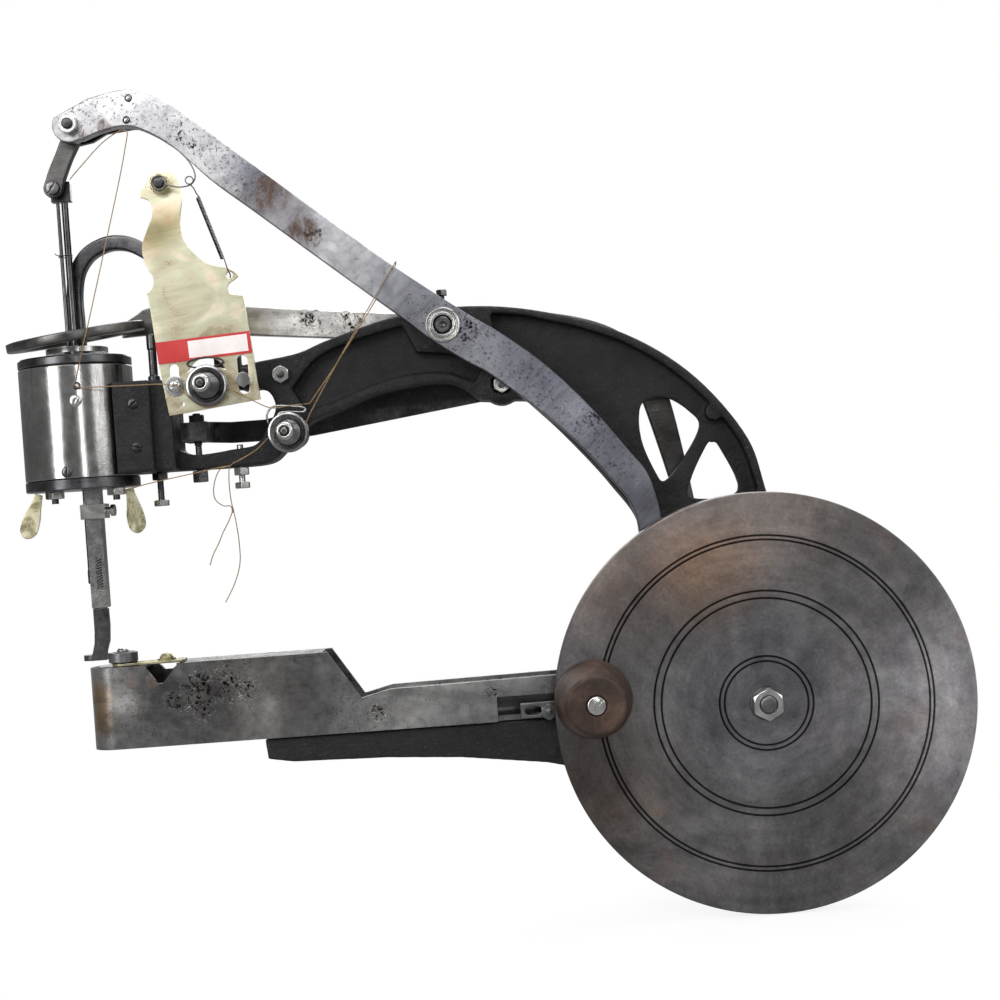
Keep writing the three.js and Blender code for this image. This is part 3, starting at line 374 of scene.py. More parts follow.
def plated(name, stops, rough=(0.2, 0.38), cloud_scale=38.0, speck=0.25, veins=0.0, tints_and_painted_light=()):
    """Zinc plate, clear or yellow: bright, with passivation colours, small dull marks, and painted shade
    round given points.
    """
    s = Shader(name)
    cloud = s.noise(cloud_scale, 4, 0.55, 1.4)
    fine = s.noise(500, 6, 0.7)
    color = s.ramp(cloud, stops)
    swirl = s.noise(1.0, 5, 0.6, 1.8, vector=s.stretched((22, 60, 90), (0, math.radians(8), 0)))
    color = s.darken(veins, color, swirl, 0.35, 0.6, (0.62, 0.58, 0.52))
    color = s.toned(color, tints_and_painted_light)
    marks = s.span(s.noise(240, 7, 0.75), 0.58, 0.68)
    color = s.mix(s.times(marks, speck), color, (0.16, 0.12, 0.07))
    roughness = s.math("ADD", s.span(cloud, 0.3, 0.7, *rough), s.times(marks, 0.6 * speck))
    scratch = s.noise(1.0, 3, 0.6, vector=s.stretched((60, 2000, 2400), (0.2, 0.5, 0)))
    height = s.math("ADD", s.times(fine, 0.5), s.times(scratch, 0.4))
    normal = s.bump(s.noise(34, 2, 0.5), 0.35, 0.5, s.bump(height, 0.006, 0.4))
    return s.done(color, roughness, 0.95, normal)


def thread_material():
    """Twisted waxed thread."""
    s = Shader("waxed_thread")
    twist = s.noise(1.0, 2, 0.5, vector=s.stretched((900, 900, 2600), (0.6, 0.4, 0)))
    color = s.ramp(twist, [(0.35, (0.12, 0.068, 0.024)), (0.65, (0.33, 0.21, 0.085))])
    return s.done(color, s.span(twist, 0.3, 0.7, 0.55, 0.8), 0.0, s.bump(twist, 0.15, 0.8), Sheen_Weight=0.3)


LABEL_LEFT = at(51.5, 0, 175.1)
LABEL_RUN = at(104.7, 0, 178.0) - LABEL_LEFT


def label_material():
    """A printed sticker, red with a blank white field."""
    s = Shader("label_print")
    offset = s.node("ShaderNodeVectorMath", {0: s.coords, 1: LABEL_LEFT}, operation="SUBTRACT").outputs[0]
    along = s.node("ShaderNodeVectorMath", {0: offset, 1: LABEL_RUN.normalized()}, operation="DOT_PRODUCT")
    rise = Vector((-LABEL_RUN.z, 0, LABEL_RUN.x)).normalized()
    across = s.node("ShaderNodeVectorMath", {0: offset, 1: rise}, operation="DOT_PRODUCT")
    u = s.math("DIVIDE", along.outputs["Value"], LABEL_RUN.length)
    v = s.math("ABSOLUTE", across.outputs["Value"])
    inside = s.times(s.math("GREATER_THAN", u, 0.335), s.math("LESS_THAN", u, 0.965))
    inside = s.times(inside, s.math("LESS_THAN", v, 0.0048))
    tone = s.noise(90, 5, 0.6)
    red = s.ramp(tone, [(0.3, (0.42, 0.012, 0.014)), (0.7, (0.52, 0.025, 0.024))])
    white = s.ramp(tone, [(0.3, (0.7, 0.62, 0.6)), (0.7, (0.82, 0.77, 0.75))])
    color = s.mix(inside, red, white)
    return s.done(color, s.span(tone, 0.3, 0.7, 0.32, 0.45), 0.0, s.bump(s.noise(300, 3, 0.5), 0.02, 0.4))


GROOVES = (23.2, 26, 58.1, 62.2, 90.5, 92.9)  # radii of the rings cut in the wheel's face
# Tones on the wheel's face: painted highlight on the right rim and the top, a darker and browner lower left,
# brown stains, and a bluish centre.
WHEEL_TINTS_AND_HIGHLIGHTS = [
    (485, -38, -70, 75, (2.1, 2.1, 2.15)), (470, -38, 10, 60, (1.5, 1.5, 1.5)),
    (275, -38, -90, 60, (0.7, 0.62, 0.55)), (300, -38, 40, 60, (1.15, 1.0, 0.9)),
    (350, -38, 34, 40, (1.35, 1.02, 0.78)), (395, -38, 62, 50, (1.35, 1.22, 1.12)),
    (377, -38, -44, 60, (0.85, 0.86, 0.92)),
]
GREYS = ((0.1, 0.1, 0.105), (0.2, 0.2, 0.205), (0.36, 0.36, 0.37))
MATERIALS = {
    "black_casting": casting("black_casting", (0.004, 0.004, 0.0045), (0.013, 0.013, 0.014)),
    "brown_casting": casting("brown_casting", (0.012, 0.009, 0.008), (0.03, 0.023, 0.019), 0.6),
    "wheel_iron": turned_iron("wheel_iron", WHEEL, GROOVES, WHEEL_TINTS_AND_HIGHLIGHTS),
    "rusty_iron": rusty("rusty_iron"),
    "steel": steel("worn_steel", *GREYS),
    "dark_steel": steel("dark_steel", (0.03, 0.03, 0.033), (0.07, 0.07, 0.075), (0.16, 0.16, 0.165),
                        (0.2, 0.42), stain=0.25),
    "zinc": plated("bright_zinc", [
        (0.3, (0.3, 0.3, 0.29)), (0.5, (0.42, 0.42, 0.405)), (0.7, (0.56, 0.56, 0.54))],
        (0.14, 0.28), speck=0.04),
    "yellow_zinc": plated("yellow_zinc", [
        (0.26, (0.56, 0.46, 0.32)), (0.36, (0.66, 0.56, 0.36)), (0.46, (0.8, 0.74, 0.54)),
        (0.54, (0.7, 0.71, 0.52)), (0.6, (0.84, 0.74, 0.58)), (0.68, (0.74, 0.62, 0.47)),
        (0.78, (0.8, 0.75, 0.55))], (0.22, 0.36), 20.0, 0.0, 0.5,
        # Darker brownish patches at the plate's neck: painted shade with a brown tint.
        [(53, -20, 243, 20, (0.5, 0.45, 0.35)), (66, -20, 250, 12, (0.75, 0.7, 0.6))]),
    "spring_steel": steel("spring_steel", (0.02, 0.02, 0.022), (0.045, 0.045, 0.05), (0.1, 0.1, 0.105),
                          (0.25, 0.42), stain=0.15),
    "label": label_material(),
    "thread": thread_material(),
}
DULL_ZINC = plated("dull_zinc", [
    (0.3, (0.2, 0.19, 0.12)), (0.5, (0.36, 0.33, 0.2)), (0.7, (0.5, 0.47, 0.33))], (0.3, 0.5), 60.0, 0.5)
WING_ZINC = plated("wing_zinc", [
    (0.3, (0.3, 0.27, 0.15)), (0.5, (0.52, 0.48, 0.31)), (0.7, (0.78, 0.75, 0.6))], (0.2, 0.36), 90.0, 0.0)
PRESSER_STEEL = steel("presser_steel", (0.16, 0.155, 0.15), (0.33, 0.325, 0.32), (0.6, 0.6, 0.59),
                      (0.18, 0.34), (0, math.radians(90), 0), stain=0.6)
ROD_STEEL = steel("rod_steel", (0.04, 0.04, 0.042), (0.09, 0.09, 0.093), (0.17, 0.17, 0.175), (0.12, 0.22),
                  (0, math.radians(90), 0), stain=0.3, brush=0.1)
DISH_STEEL = steel("dish_steel", (0.12, 0.12, 0.12), (0.25, 0.25, 0.25), (0.4, 0.4, 0.4), (0.14, 0.28),
                   stain=0.3)
LEVER_STEEL = steel(
    "lever_steel", (0.2, 0.2, 0.21), (0.32, 0.32, 0.33), (0.5, 0.5, 0.51), (0.24, 0.42),
    (0, math.radians(42), 0),
    pits=[(143, -16, 236, 12), (73, -16, 297, 6), (79, -16, 292, 5), (226, -16, 176, 13), (294, -16, 121, 9)],
    specks=[(30, -16, 318, 50), (62, -16, 308, 60), (92, -16, 288, 40), (115, -16, 270, 30),
            (225, -16, 180, 60), (262, -16, 155, 60), (300, -16, 110, 60)],
    rust=[(121.6, -16, 262, 20), (138, -16, 238, 18), (17, -16, 300, 8), (30, -16, 306, 8)], stain=0.35,
    # Tones along the lever: painted highlights near the front and the middle, painted shade growing towards
    # the rear, and darker spots round the rust.
    tints_and_painted_light=[(60, -16, 312, 110, (1.6, 1.6, 1.58)), (98, -16, 284, 34, (1.25, 1.25, 1.25)),
           (113, -16, 273, 24, (0.6, 0.61, 0.66)), (160, -16, 232, 64, (1.65, 1.66, 1.68)),
           (124, -16, 262, 24, (0.45, 0.42, 0.45)), (138, -16, 240, 20, (0.6, 0.58, 0.6)),
           (205, -16, 190, 46, (0.62, 0.63, 0.68)), (262, -16, 160, 70, (0.36, 0.37, 0.42)),
           (300, -16, 112, 62, (0.5, 0.51, 0.57)), (322, -16, 60, 62, (0.3, 0.3, 0.34))],
    waves=1.0, brush=0.12)
ARM_STEEL = steel(
    "arm_steel", (0.1, 0.1, 0.103), (0.22, 0.217, 0.215), (0.4, 0.395, 0.39), (0.2, 0.4),
    (0, math.radians(-4), 0),
    pits=[(60, -15, -16, 20), (76, -15, -14, 18), (88, -15, -17, 12), (62, -15, -26, 14), (46, -15, -22, 12),
          (160, -15, -36, 9), (225, -15, -30, 8)],
    specks=[(70, -15, -16, 50), (150, -15, -30, 40), (30, -15, -30, 30)],
    rust=[(24, -15, -7, 9), (34, -15, -9, 7)], stain=0.5,
    # Tones on the arm: brown stains at the nose, a painted highlight on the nose's curve, and brighter and
    # darker stretches that are painted reflection and shade.
    tints_and_painted_light=[(2, -12, -16, 12, (1.15, 0.85, 0.55)), (2, -12, -30, 12, (1.15, 0.85, 0.55)),
           # Painted highlight where the nose curves.
           (15, -15, -22, 14, (1.9, 1.87, 1.85)),
           (90, -15, -25, 46, (1.5, 1.45, 1.4)), (190, -15, -30, 60, (1.5, 1.5, 1.5)),
           (125, -15, -35, 30, (0.75, 0.75, 0.78))],
    waves=1.1, brush=0.25)
RING_BAR_STEEL = steel(
    "ring_bar_steel", (0.06, 0.058, 0.056), (0.13, 0.127, 0.123), (0.28, 0.275, 0.265), (0.24, 0.42),
    (0, math.radians(4), 0),
    pits=[(135, 20, 194, 14), (160, 20, 190, 14), (185, 20, 187, 12)],
    specks=[(150, 20, 192, 60)], stain=0.6,
    # Tones on the ring bar: a painted highlight along its middle, and painted shade on the rear part behind
    # the frame.
    tints_and_painted_light=[(150, 20, 192, 75, (4.2, 4.2, 4.2)), (100, 20, 196, 40, (1.5, 1.5, 1.5)),
           (345, 20, 110, 70, (0.35, 0.33, 0.33))], waves=0.6, brush=0.2)
CYLINDER_STEEL = steel(
    "cylinder_steel", (0.2, 0.195, 0.19), (0.34, 0.335, 0.33), (0.5, 0.495, 0.485), (0.14, 0.24),
    (0, math.radians(90), 0), stain=0.4)


# ---- Geometry -----------------------------------------------------------------------------------------


def spline(points, count):
    """A smooth line through a few points, with `count` segments."""
    found = []
    last = len(points) - 1
    for step in range(count + 1):
        place = step * last / count
        i = min(int(place), last - 1)
        t = place - i
        a, b, c, d = (Vector(points[k]) for k in (max(i - 1, 0), i, i + 1, min(i + 2, last)))
        found.append(tuple(
            b + 0.5 * t * ((c - a) + t * ((2 * a - 5 * b + 4 * c - d) + t * (3 * (b - c) + d - a)))
        ))
    return found


def arc(x, z, radius, start, end, count):
    angles = (math.radians(start + (end - start) * i / count) for i in range(count + 1))
    return [(x + radius * math.cos(a), z + radius * math.sin(a)) for a in angles]


def circle(x, z, radius, count=32):
    return arc(x, z, radius, 0, 360 - 360 / count, count - 1)


def slot_outline(x0, z0, x1, z1, radius):
    turn = math.degrees(math.atan2(z1 - z0, x1 - x0))
    return arc(x0, z0, radius, turn + 90, turn + 270, 12) + arc(x1, z1, radius, turn - 90, turn + 90, 12)


def link(name, mesh):
    made = bpy.data.objects.new(name, mesh)
    bpy.context.scene.collection.objects.link(made)
    return made


def mesh_object(name, points, faces):
    """An object from points in needle-frame millimetres."""
    mesh = bpy.data.meshes.new(name)
    mesh.from_pydata([at(*p) for p in points], [], faces)
    mesh.update()
    return link(name, mesh)


def meshed(name, curve):
    """The mesh of a curve, which is used up."""
    source = link(name + "_curve", curve)
    bpy.context.view_layer.update()
    mesh = bpy.data.meshes.new_from_object(source)
    bpy.data.objects.remove(source)
    bpy.data.curves.remove(curve)
    return mesh


def plate(name, outline, near, far, bevel=0.5, holes=(), steps=2, flat=False):
    """A filled outline with rounded edges, in the XZ plane from y near to far, or flat in XY from z."""
    curve = bpy.data.curves.new(name, "CURVE")
    curve.dimensions = "2D"
    curve.fill_mode = "BOTH"
    for ring in (outline, *holes):
        line = curve.splines.new("POLY")
        line.points.add(len(ring) - 1)
        for point, (u, v) in zip(line.points, ring):
            point.co = (u * MM, v * MM, 0, 1)
        line.use_cyclic_u = True
    curve.extrude = ((far - near) / 2 - bevel) * MM
    curve.bevel_depth = bevel * MM
    curve.bevel_resolution = steps
    curve.offset = -bevel * MM
    mesh = meshed(name, curve)
    middle = (near + far) / 2 * MM
    lay = Matrix.Translation((0, 0, middle)) if flat else (
        Matrix.Translation((0, middle, 0)) @ Matrix.Rotation(math.radians(90), 4, "X"))
    mesh.transform(Matrix.Translation(-ORIGIN * MM) @ lay)
    made = link(name, mesh)
    clean(made)
    return made


def clean(piece, weld=0.01):
    """Welds doubled points, and turns the faces outwards."""
    bm = bmesh.new()
    bm.from_mesh(piece.data)
    bmesh.ops.remove_doubles(bm, verts=bm.verts, dist=weld * MM)
    bmesh.ops.recalc_face_normals(bm, faces=bm.faces)
    bm.to_mesh(piece.data)
    bm.free()


def spin(name, rings, centre, axis="Y", sides=64, turn=0.0):
    """Rings of (radius, height) about an axis; either may depend on the angle. A radius of 0 is a point."""
    value = lambda v, a: v(a) if callable(v) else v
    points, faces, rows = [], [], []
    cx, cy, cz = centre
    for radius, height in rings:
        lone = radius == 0
        row = []
        for i in range(1 if lone else sides):
            a = 2 * math.pi * i / sides + math.radians(turn)
            r, h = value(radius, a), value(height, a)
            u, v = r * math.cos(a), r * math.sin(a)
            row.append(len(points))
            points.append((cx + u, cy + h, cz + v) if axis == "Y" else (cx + u, cy + v, cz + h))
        rows.append(row)
    pairs = list(zip(rows, rows[1:]))
    if rings[0][0] != 0:
        pairs.append((rows[-1], rows[0]))
    for low, high in pairs:
        for i in range(sides):
            j = (i + 1) % sides
            corners = [low[i % len(low)], low[j % len(low)], high[j % len(high)], high[i % len(high)]]
            faces.append(list(dict.fromkeys(corners)))
    made = mesh_object(name, points, [f for f in faces if len(f) > 2])
    clean(made, 0.001)
    return made


def rod(radius, low, high):
    """The rings of a plain cylinder."""
    return [(0, low), (radius, low), (radius, high), (0, high)]


def hexagon(across):
    """The radius of a hexagon by angle."""
    return lambda a: across / 2 / math.cos((a + math.pi / 6) % (math.pi / 3) - math.pi / 6)


def hex_rings(across, low, high, hole=0.0):
    """A hexagon nut or head with both rims chamfered."""
    flat = across / 2 * 0.97
    drop = lambda a: (hexagon(across)(a) - flat) * 0.6
    ends = [(flat, low), (hexagon(across), lambda a: low + drop(a)),
            (hexagon(across), lambda a: high - drop(a)), (flat, high)]
    return [(hole, low), *ends, (hole, high)]


def threads(radius, low, high, pitch=1.2):
    """The rings of a threaded stud, chamfered at both ends."""
    count = max(2, round((high - low) / pitch))
    step = (high - low) / count
    rings = [(0, low), (radius * 0.75, low)]
    for i in range(count):
        rings += [(radius * 0.86, low + step * (i + 0.15)), (radius, low + step * (i + 0.6))]
    return [*rings, (radius * 0.75, high), (0, high)]


def wire(name, path, radius, sides):
    """A round curve object's data through points in needle-frame millimetres."""
    curve = bpy.data.curves.new(name, "CURVE")
    curve.dimensions = "3D"
    curve.bevel_depth = radius * MM
    curve.bevel_resolution = sides
    curve.use_fill_caps = True
    line = curve.splines.new("POLY")
    line.points.add(len(path) - 1)
    for point, spot in zip(line.points, path):
        point.co = (*at(*spot), 1)
    return curve


def tube(name, points, radius, count=0, sides=4, closed=False):
    """A round wire along a smooth curve, as a mesh."""
    curve = wire(name, spline(points, count) if count else points, radius, sides)
    curve.splines[0].use_cyclic_u = closed
    made = link(name, meshed(name, curve))
    clean(made, 0.001)
    return made


def coil_points(start, end, radius, turns, per_turn=16):
    """A helix between two points; the radius may depend on the share of the length."""
    a, b = Vector(start), Vector(end)
    along = (b - a).normalized()
    side = along.orthogonal().normalized()
    other = along.cross(side)
    found = []
    for i in range(turns * per_turn + 1):
        share = i / (turns * per_turn)
        r = radius(share) if callable(radius) else radius
        angle = 2 * math.pi * i / per_turn
        found.append(tuple(a.lerp(b, share) + r * (math.cos(angle) * side + math.sin(angle) * other)))
    return found


def applied(piece):
    """The piece with its modifiers applied."""
    bpy.context.view_layer.update()
    mesh = bpy.data.meshes.new_from_object(piece.evaluated_get(bpy.context.evaluated_depsgraph_get()))
    piece.modifiers.clear()
    piece.data = mesh
    return piece


def merge_raw(piece, other):
    """Adds another mesh to a piece as it is, and uses it up."""
    bm = bmesh.new()
    bm.from_mesh(piece.data)
    bm.from_mesh(other.data)
    bm.to_mesh(piece.data)
    bm.free()
    bpy.data.objects.remove(other)


def carve(piece, *cutters):
    for cutter in cutters:
        boolean = piece.modifiers.new("carve", "BOOLEAN")
        boolean.operation = "DIFFERENCE"
        boolean.solver = "EXACT"
        boolean.object = cutter
        applied(piece)
        bpy.data.objects.remove(cutter)
    return piece


def block(name, x0, x1, y0, y1, z0, z1, turn=None):
    """A box, turned about its middle."""
    middle = Vector(((x0 + x1) / 2, (y0 + y1) / 2, (z0 + z1) / 2))
    half = Vector((x1 - x0, y1 - y0, z1 - z0)) / 2
    spin_matrix = Euler(turn or (0, 0, 0)).to_matrix()
    corners = [(sx, sy, sz) for sx in (-1, 1) for sy in (-1, 1) for sz in (-1, 1)]
    points = [tuple(middle + spin_matrix @ Vector((sx * half.x, sy * half.y, sz * half.z)))
              for sx, sy, sz in corners]
    made = mesh_object(name, points, [
        (0, 1, 3, 2), (4, 6, 7, 5), (0, 4, 5, 1), (2, 3, 7, 6), (0, 2, 6, 4), (1, 5, 7, 3)])
    clean(made, 0.001)
    return made


def head(name, centre, radius, low, high, dome=0.0, slot=None, cross=False, axis="Y", width=0.9, depth=1.2):
    """A screw head whose top is at `high`, with a slot at an angle in degrees, or a cross recess."""
    way = 1 if high > low else -1
    edge = high - way * dome
    rings = [(0, low), (radius, low), (radius, edge - way * 0.25), (radius * 0.94, edge)]
    if dome:
        rings += [(radius * 0.75, edge + way * dome * 0.62), (radius * 0.42, edge + way * dome * 0.92)]
    made = spin(name, [*rings, (0, high)], centre, axis, 40)
    if slot is None:
        return made
    cx, cy, cz = centre
    for extra in (0, 90) if cross else (0,):
        angle = math.radians(slot + extra)
        reach = radius * (0.62 if cross else 1.2)
        inner, outer = sorted((high - way * depth, high + way * 1.0))
        if axis == "Y":
            cutter = block(name + "_cut", cx - reach, cx + reach, cy + inner, cy + outer,
                           cz - width / 2, cz + width / 2, (0, -angle, 0))
        else:
            cutter = block(name + "_cut", cx - reach, cx + reach, cy - width / 2, cy + width / 2,
                           cz + inner, cz + outer, (0, 0, angle))
        carve(made, cutter)
    return made


def soften(piece, width=0.3, steps=2, angle=35.0):
    """Small rounded edges and smooth shading."""
    if width:
        bevel = piece.modifiers.new("edges", "BEVEL")
        bevel.width = width * MM
        bevel.segments = steps
        bevel.limit_method = "ANGLE"
        bevel.angle_limit = math.radians(angle)
        bevel.use_clamp_overlap = True
        bevel.harden_normals = False
    piece.data.polygons.foreach_set("use_smooth", [True] * len(piece.data.polygons))
    normals = piece.modifiers.new("normals", "WEIGHTED_NORMAL")
    normals.keep_sharp = False
    return piece


def dress(piece, node, *replaced, material=None, slot=None, body=None):
    """Puts a finished piece on a body, in a slot, with its material, in place of CAD nodes."""
    slot = slot or SLOT[node]
    piece.data.materials.clear()
    piece.data.materials.append(material or MATERIALS[slot])
    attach(piece, body or BODY[node])
    if replaced:
        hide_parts(*replaced)
    return piece


def finish(piece, node, width=0.0, steps=2, angle=35.0, **looks):
    """Rounds the edges of a piece and puts it in the place of its CAD node."""
    return dress(soften(piece, width, steps, angle), node, node, **looks)


def rounded(node, width=0.4, steps=2, angle=32.0, material=None):
    """The CAD node's own shape, with its edges rounded."""
    source = frame["nodes"][node]
    made = link(node + "_detailed", source.data.copy())
    bm = bmesh.new()
    bm.from_mesh(made.data)
    bmesh.ops.remove_doubles(bm, verts=bm.verts, dist=0.005 * MM)
    bmesh.ops.dissolve_limit(bm, verts=bm.verts, edges=bm.edges, angle_limit=math.radians(1.0))
    bm.to_mesh(made.data)
    bm.free()
    soften(made, width, steps, angle)
    return dress(made, node, node, material=material)


# ---- Thread -------------------------------------------------------------------------------------------

THREAD = 0.3  # the thread's radius


def free_thread(name, points, count, *replaced):
    """A loose end of thread, hanging from the lower tension."""
    smooth_line = spline(points, count)
    made = link(name, wire(name, smooth_line, THREAD, 3))
    dress(made, "thread_tail", *replaced)
    return made


TAIL = [
    (109.4, -13.4, 123.6), (103, -16, 117.5), (95, -18, 113), (88, -18.8, 109.5), (86.6, -19, 104),
    (86.4, -19, 96), (87, -19, 88), (88.6, -19, 78), (89.6, -19, 66), (89.2, -19, 54), (85.5, -19, 43),
    (79.5, -19, 32.5),
]
free_thread("thread_tail_long", TAIL, 60, "thread_tail")
KNOT = (87.4, -19, 84)
SHORT_TAIL = [
    KNOT, (84.4, -19.2, 77.6), (81, -19.2, 72), (78.2, -19, 66.2), (74.6, -19, 60), (72.3, -19, 54.1),
]
free_thread("thread_tail_short", SHORT_TAIL, 30)


def strand(name, points, count, a, b=None):
    """A stretch of the threaded run, put on one body; one that runs between two bodies is left fixed in place
    on no body.
    """
    made = tube(name, points, THREAD, count, 3)
    soften(made, 0)
    made.data.materials.append(MATERIALS["thread"])
    if b:
        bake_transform(made)
    else:
        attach(made, a)
    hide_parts("thread_run")
    return made


LOOP = [
    (131, -12.6, 129.6), (136, -16, 138), (154, -17.4, 166), (175, -17.4, 197), (186.6, -17.4, 213.8),
    (189, -12, 218.2), (186.6, -6.8, 213.8), (175, -6.7, 197), (152, -7.2, 165), (134, -10, 141.5),
]
strand("thread_round_lever", LOOP, 72, "frame", "needle_lever")
ACROSS = [
    (134, -10, 141.5), (124, -17, 140.8), (113, -22.5, 140), (100, -24, 147), (89.2, -24.4, 152.4),
    (86, -24.1, 145.8), (78.7, -24.1, 142.6), (71.4, -24.1, 145.8), (66.2, -25.6, 151.5),
    (59, -25.6, 156.8), (36, -31, 157.6), (9.5, -35.4, 158.4), (9, -36.8, 163),
]
strand("thread_across_tensions", ACROSS, 96, "frame")
RISE = [(9, -36.8, 163), (13.6, -39, 178), (18.6, -38.8, 194), (28, -30, 233.5), (38, -20, 277),
        (43.4, -17.3, 301)]
strand("thread_to_lever", RISE, 50, "frame", "needle_lever")
TO_HEAD = [
    (87.8, -18.9, 109.3), (81, -19.2, 108.6), (68.1, -19.4, 106.6), (52.4, -19.6, 104.3),
    (39.2, -19.4, 102.2), (29, -18.6, 100.2), (26, -17.8, 101.4),
]
strand("thread_to_head", TO_HEAD, 40, "frame")
BIGHT = [(87.6, -19.2, 109), (82.5, -19.8, 108), (79, -19.8, 102.5), (77.4, -19.6, 95.4), (78.3, -19.4, 90.4),
         (82.3, -19.4, 87), (86.2, -19.6, 86.6), KNOT]
strand("thread_bight", BIGHT, 48, "frame")
knot = tube("thread_knot", coil_points((87.3, -19, 85.2), (87.5, -19, 82.8), 0.45, 3, 12), 0.32, sides=3)
dress(soften(knot, 0), "thread_run")
FRONT = [(43.4, -17.3, 301), (40, -16.9, 303), (28, -13.5, 297.5), (13.6, -9.6, 285.5), (6.8, -8.7, 279)]
strand("thread_to_link", FRONT, 30, "needle_lever", "drop_link")

# ---- Frame casting ------------------------------------------------------------------------------------

ARCH_TOP = [(44, 160), (75, 162.5), (102, 167.4), (128, 171), (147, 177.5), (184, 187.5), (224, 191),
            (267, 185.5), (314, 169.7), (352, 143.6), (380.5, 107), (390, 75), (400, 20), (404, -40)]
THROAT = [(290, -47), (296, -15), (311, 20), (318, 56), (303, 83), (278, 114), (258, 135)]
RIB = [(231, 137), (212.7, 148), (176, 145), (151, 137), (132, 130), (120, 119), (109, 110), (90, 108.5)]
FRAME_OUTLINE = [
    *spline(ARCH_TOP, 90), (404, -80), (290, -80), *spline(THROAT, 50), *spline(RIB, 50), (44, 109),
]
BASE_ARM = [(95, -47.2), (96, -58.5), (110, -61), (164, -62.6), (206, -65.6), (254, -72), (286, -80),
            (293, -80), (293, -47.2)]
RECESSES = [
    [*spline([(124, 151), (140, 168), (165, 177), (189, 182.5)], 24), (190, 182), (197, 167), (212, 165),
     (236, 160), (229, 147), *spline([(214, 153.5), (196, 154.5), (176, 151), (151, 143), (132, 137)], 24)],
    [*spline([(240, 186), (265, 181.8), (311, 166), (348, 140.5), (376, 105.5), (385.5, 75)], 36),
     *spline([(381, 66), (350, 66), (327, 66), (312, 86), (288, 115), (264, 140), (254, 156),
              (243, 167)], 36)],
    [*spline([(330, 60), (386, 60), (394, 20), (397, -15)], 20), (356, -15), (322, -28), (308, -26),
     (318, 10)],
]
WINDOWS = [
    [(57.5, 120), (92, 119.3), (103, 122), (110, 132), (114, 142), (109, 151.5), (94, 153.5),
     (57.5, 153.5)],
    [(323, 127), (332.5, 131), (341, 129.5), (351, 121.8), (356, 113), (346, 96), (334, 83), (329, 88),
     (322, 108)],
    [(362.5, 103), (366.5, 100.5), (375.5, 74), (348.5, 72), (349, 83), (359.5, 102)],
]


def closed_round(points, count):
    """A closed smooth line through the corners of an outline."""
    ring = [*points[-2:], *points, *points[:3]]
    found = spline(ring, (len(ring) - 1) * count)
    return found[2 * count:(len(points) + 2) * count]


def frame_casting():
    """The whole casting as one remeshed skin, so that all its inner corners are filleted."""
    windows = [closed_round(w, 5) for w in WINDOWS]
    body = plate("frame_casting_detailed", FRAME_OUTLINE, -6, 18, 0.8, [*RECESSES, windows[0]])
    web = plate("web", FRAME_OUTLINE, 2, 8, 0.3, windows)
    parts = [web, plate("base_arm", BASE_ARM, -12, 12, 0.6)]
    parts.append(block("pad", 296, 408, -6, 30, -80, -71))
    saddle = [(25, -24), (46, -24), (46, -18.2), (57, -18.2), (57, 18.2), (46, 18.2), (46, 24), (25, 24)]
    parts.append(plate("saddle", saddle, 109, 160.6, 0.6, flat=True))
    for x, z, near, far, radius in (
        (213, 180, -7.5, 19.5, 13), (244, 145, -3.4, 19, 11.5), (121, 126, -9, 18, 9),
        (99, 158, -18.2, 18, 6.5), (377, -44, -6, 36, 20), (88, 179, -6, 3.4, 8),
        (364.4, 120.6, -4.5, 12, 5),
    ):
        parts.append(spin("boss", rod(radius, near, far), (x, 0, z), "Y", 48))
    parts.append(block("post_root", 80.5, 95.5, -6, 3.4, 160, 179))
    for part in parts:
        merge_raw(body, part)
    remesh = body.modifiers.new("skin", "REMESH")
    remesh.mode = "VOXEL"
    remesh.voxel_size = 0.95 * MM
    smooth = body.modifiers.new("fillet", "SMOOTH")
    smooth.factor = 0.5
    smooth.iterations = 2
    applied(body)
    cutters = [spin("cut", rod(32.7, 100, 170), (0, 0, 0), "Z", 96)]
    for x, z, near, far, radius in (
        (213, 180, -20, 40, 6.3), (244, 145, -20, -3.4, 6.2), (377, -44, -30, 50, 11),
    ):
        cutters.append(spin("cut", rod(radius, near, far), (x, 0, z), "Y", 48))
    for x in (314, 390):
        cutters.append(spin("cut", rod(4.5, -90, -60), (x, 23, 0), "Z", 32))
    carve(body, *cutters)
    soften(body, 0)
    return dress(body, "frame_casting", "frame_casting")


frame_casting()

# ---- Bolts and screws of the frame --------------------------------------------------------------------


NUT_EDGE = (0.12, 2, 30)  # bevel width, steps and least angle


def stem(name, node, radius, low, high, centre, axis="Y", material=None, pitch=0.9):
    """The threaded end of a bolt, darker than its nut."""
    made = spin(name, threads(radius, *sorted((low, high)), pitch), centre, axis, 36)
    return dress(soften(made, 0.08, 1, 30), node, slot="dark_steel", material=material)


def bolt(node, x, z, across, under, top, stud=0.0, stud_end=0.0):
    """A hexagon head or nut along Y with, if wanted, the threaded end of its stud."""
    low, high = sorted((under, top))
    made = spin(node + "_detailed", hex_rings(across, low, high), (x, 0, z), "Y", 72, turn=11 + x % 30)
    if stud:
        stem(node + "_stem", node, stud, stud_end - 0.5, top + 1.5, (x, 0, z))
    soften(made, *NUT_EDGE)
    return dress(made, node, node)


bolt("lug_bolt", 118.5, 159.5, 8.9, -6.3, -9.6, 2.3, -10.5)
bolt("bow_bolt", 88, 179, 10, -6.3, -9)
bolt("plate_bolt", 99, 157, 7.9, -20.6, -23.8)
bolt("lift_pivot_bolt", 244, 145, 9, -3.7, -6.6, 2.6, -7.1)
rear_nut = spin("lift_pivot_nut", hex_rings(9, 25.8, 29, 0), LIFT_PIVOT, "Y", 72, 5)
dress(soften(rear_nut, *NUT_EDGE), "lift_pivot_bolt")

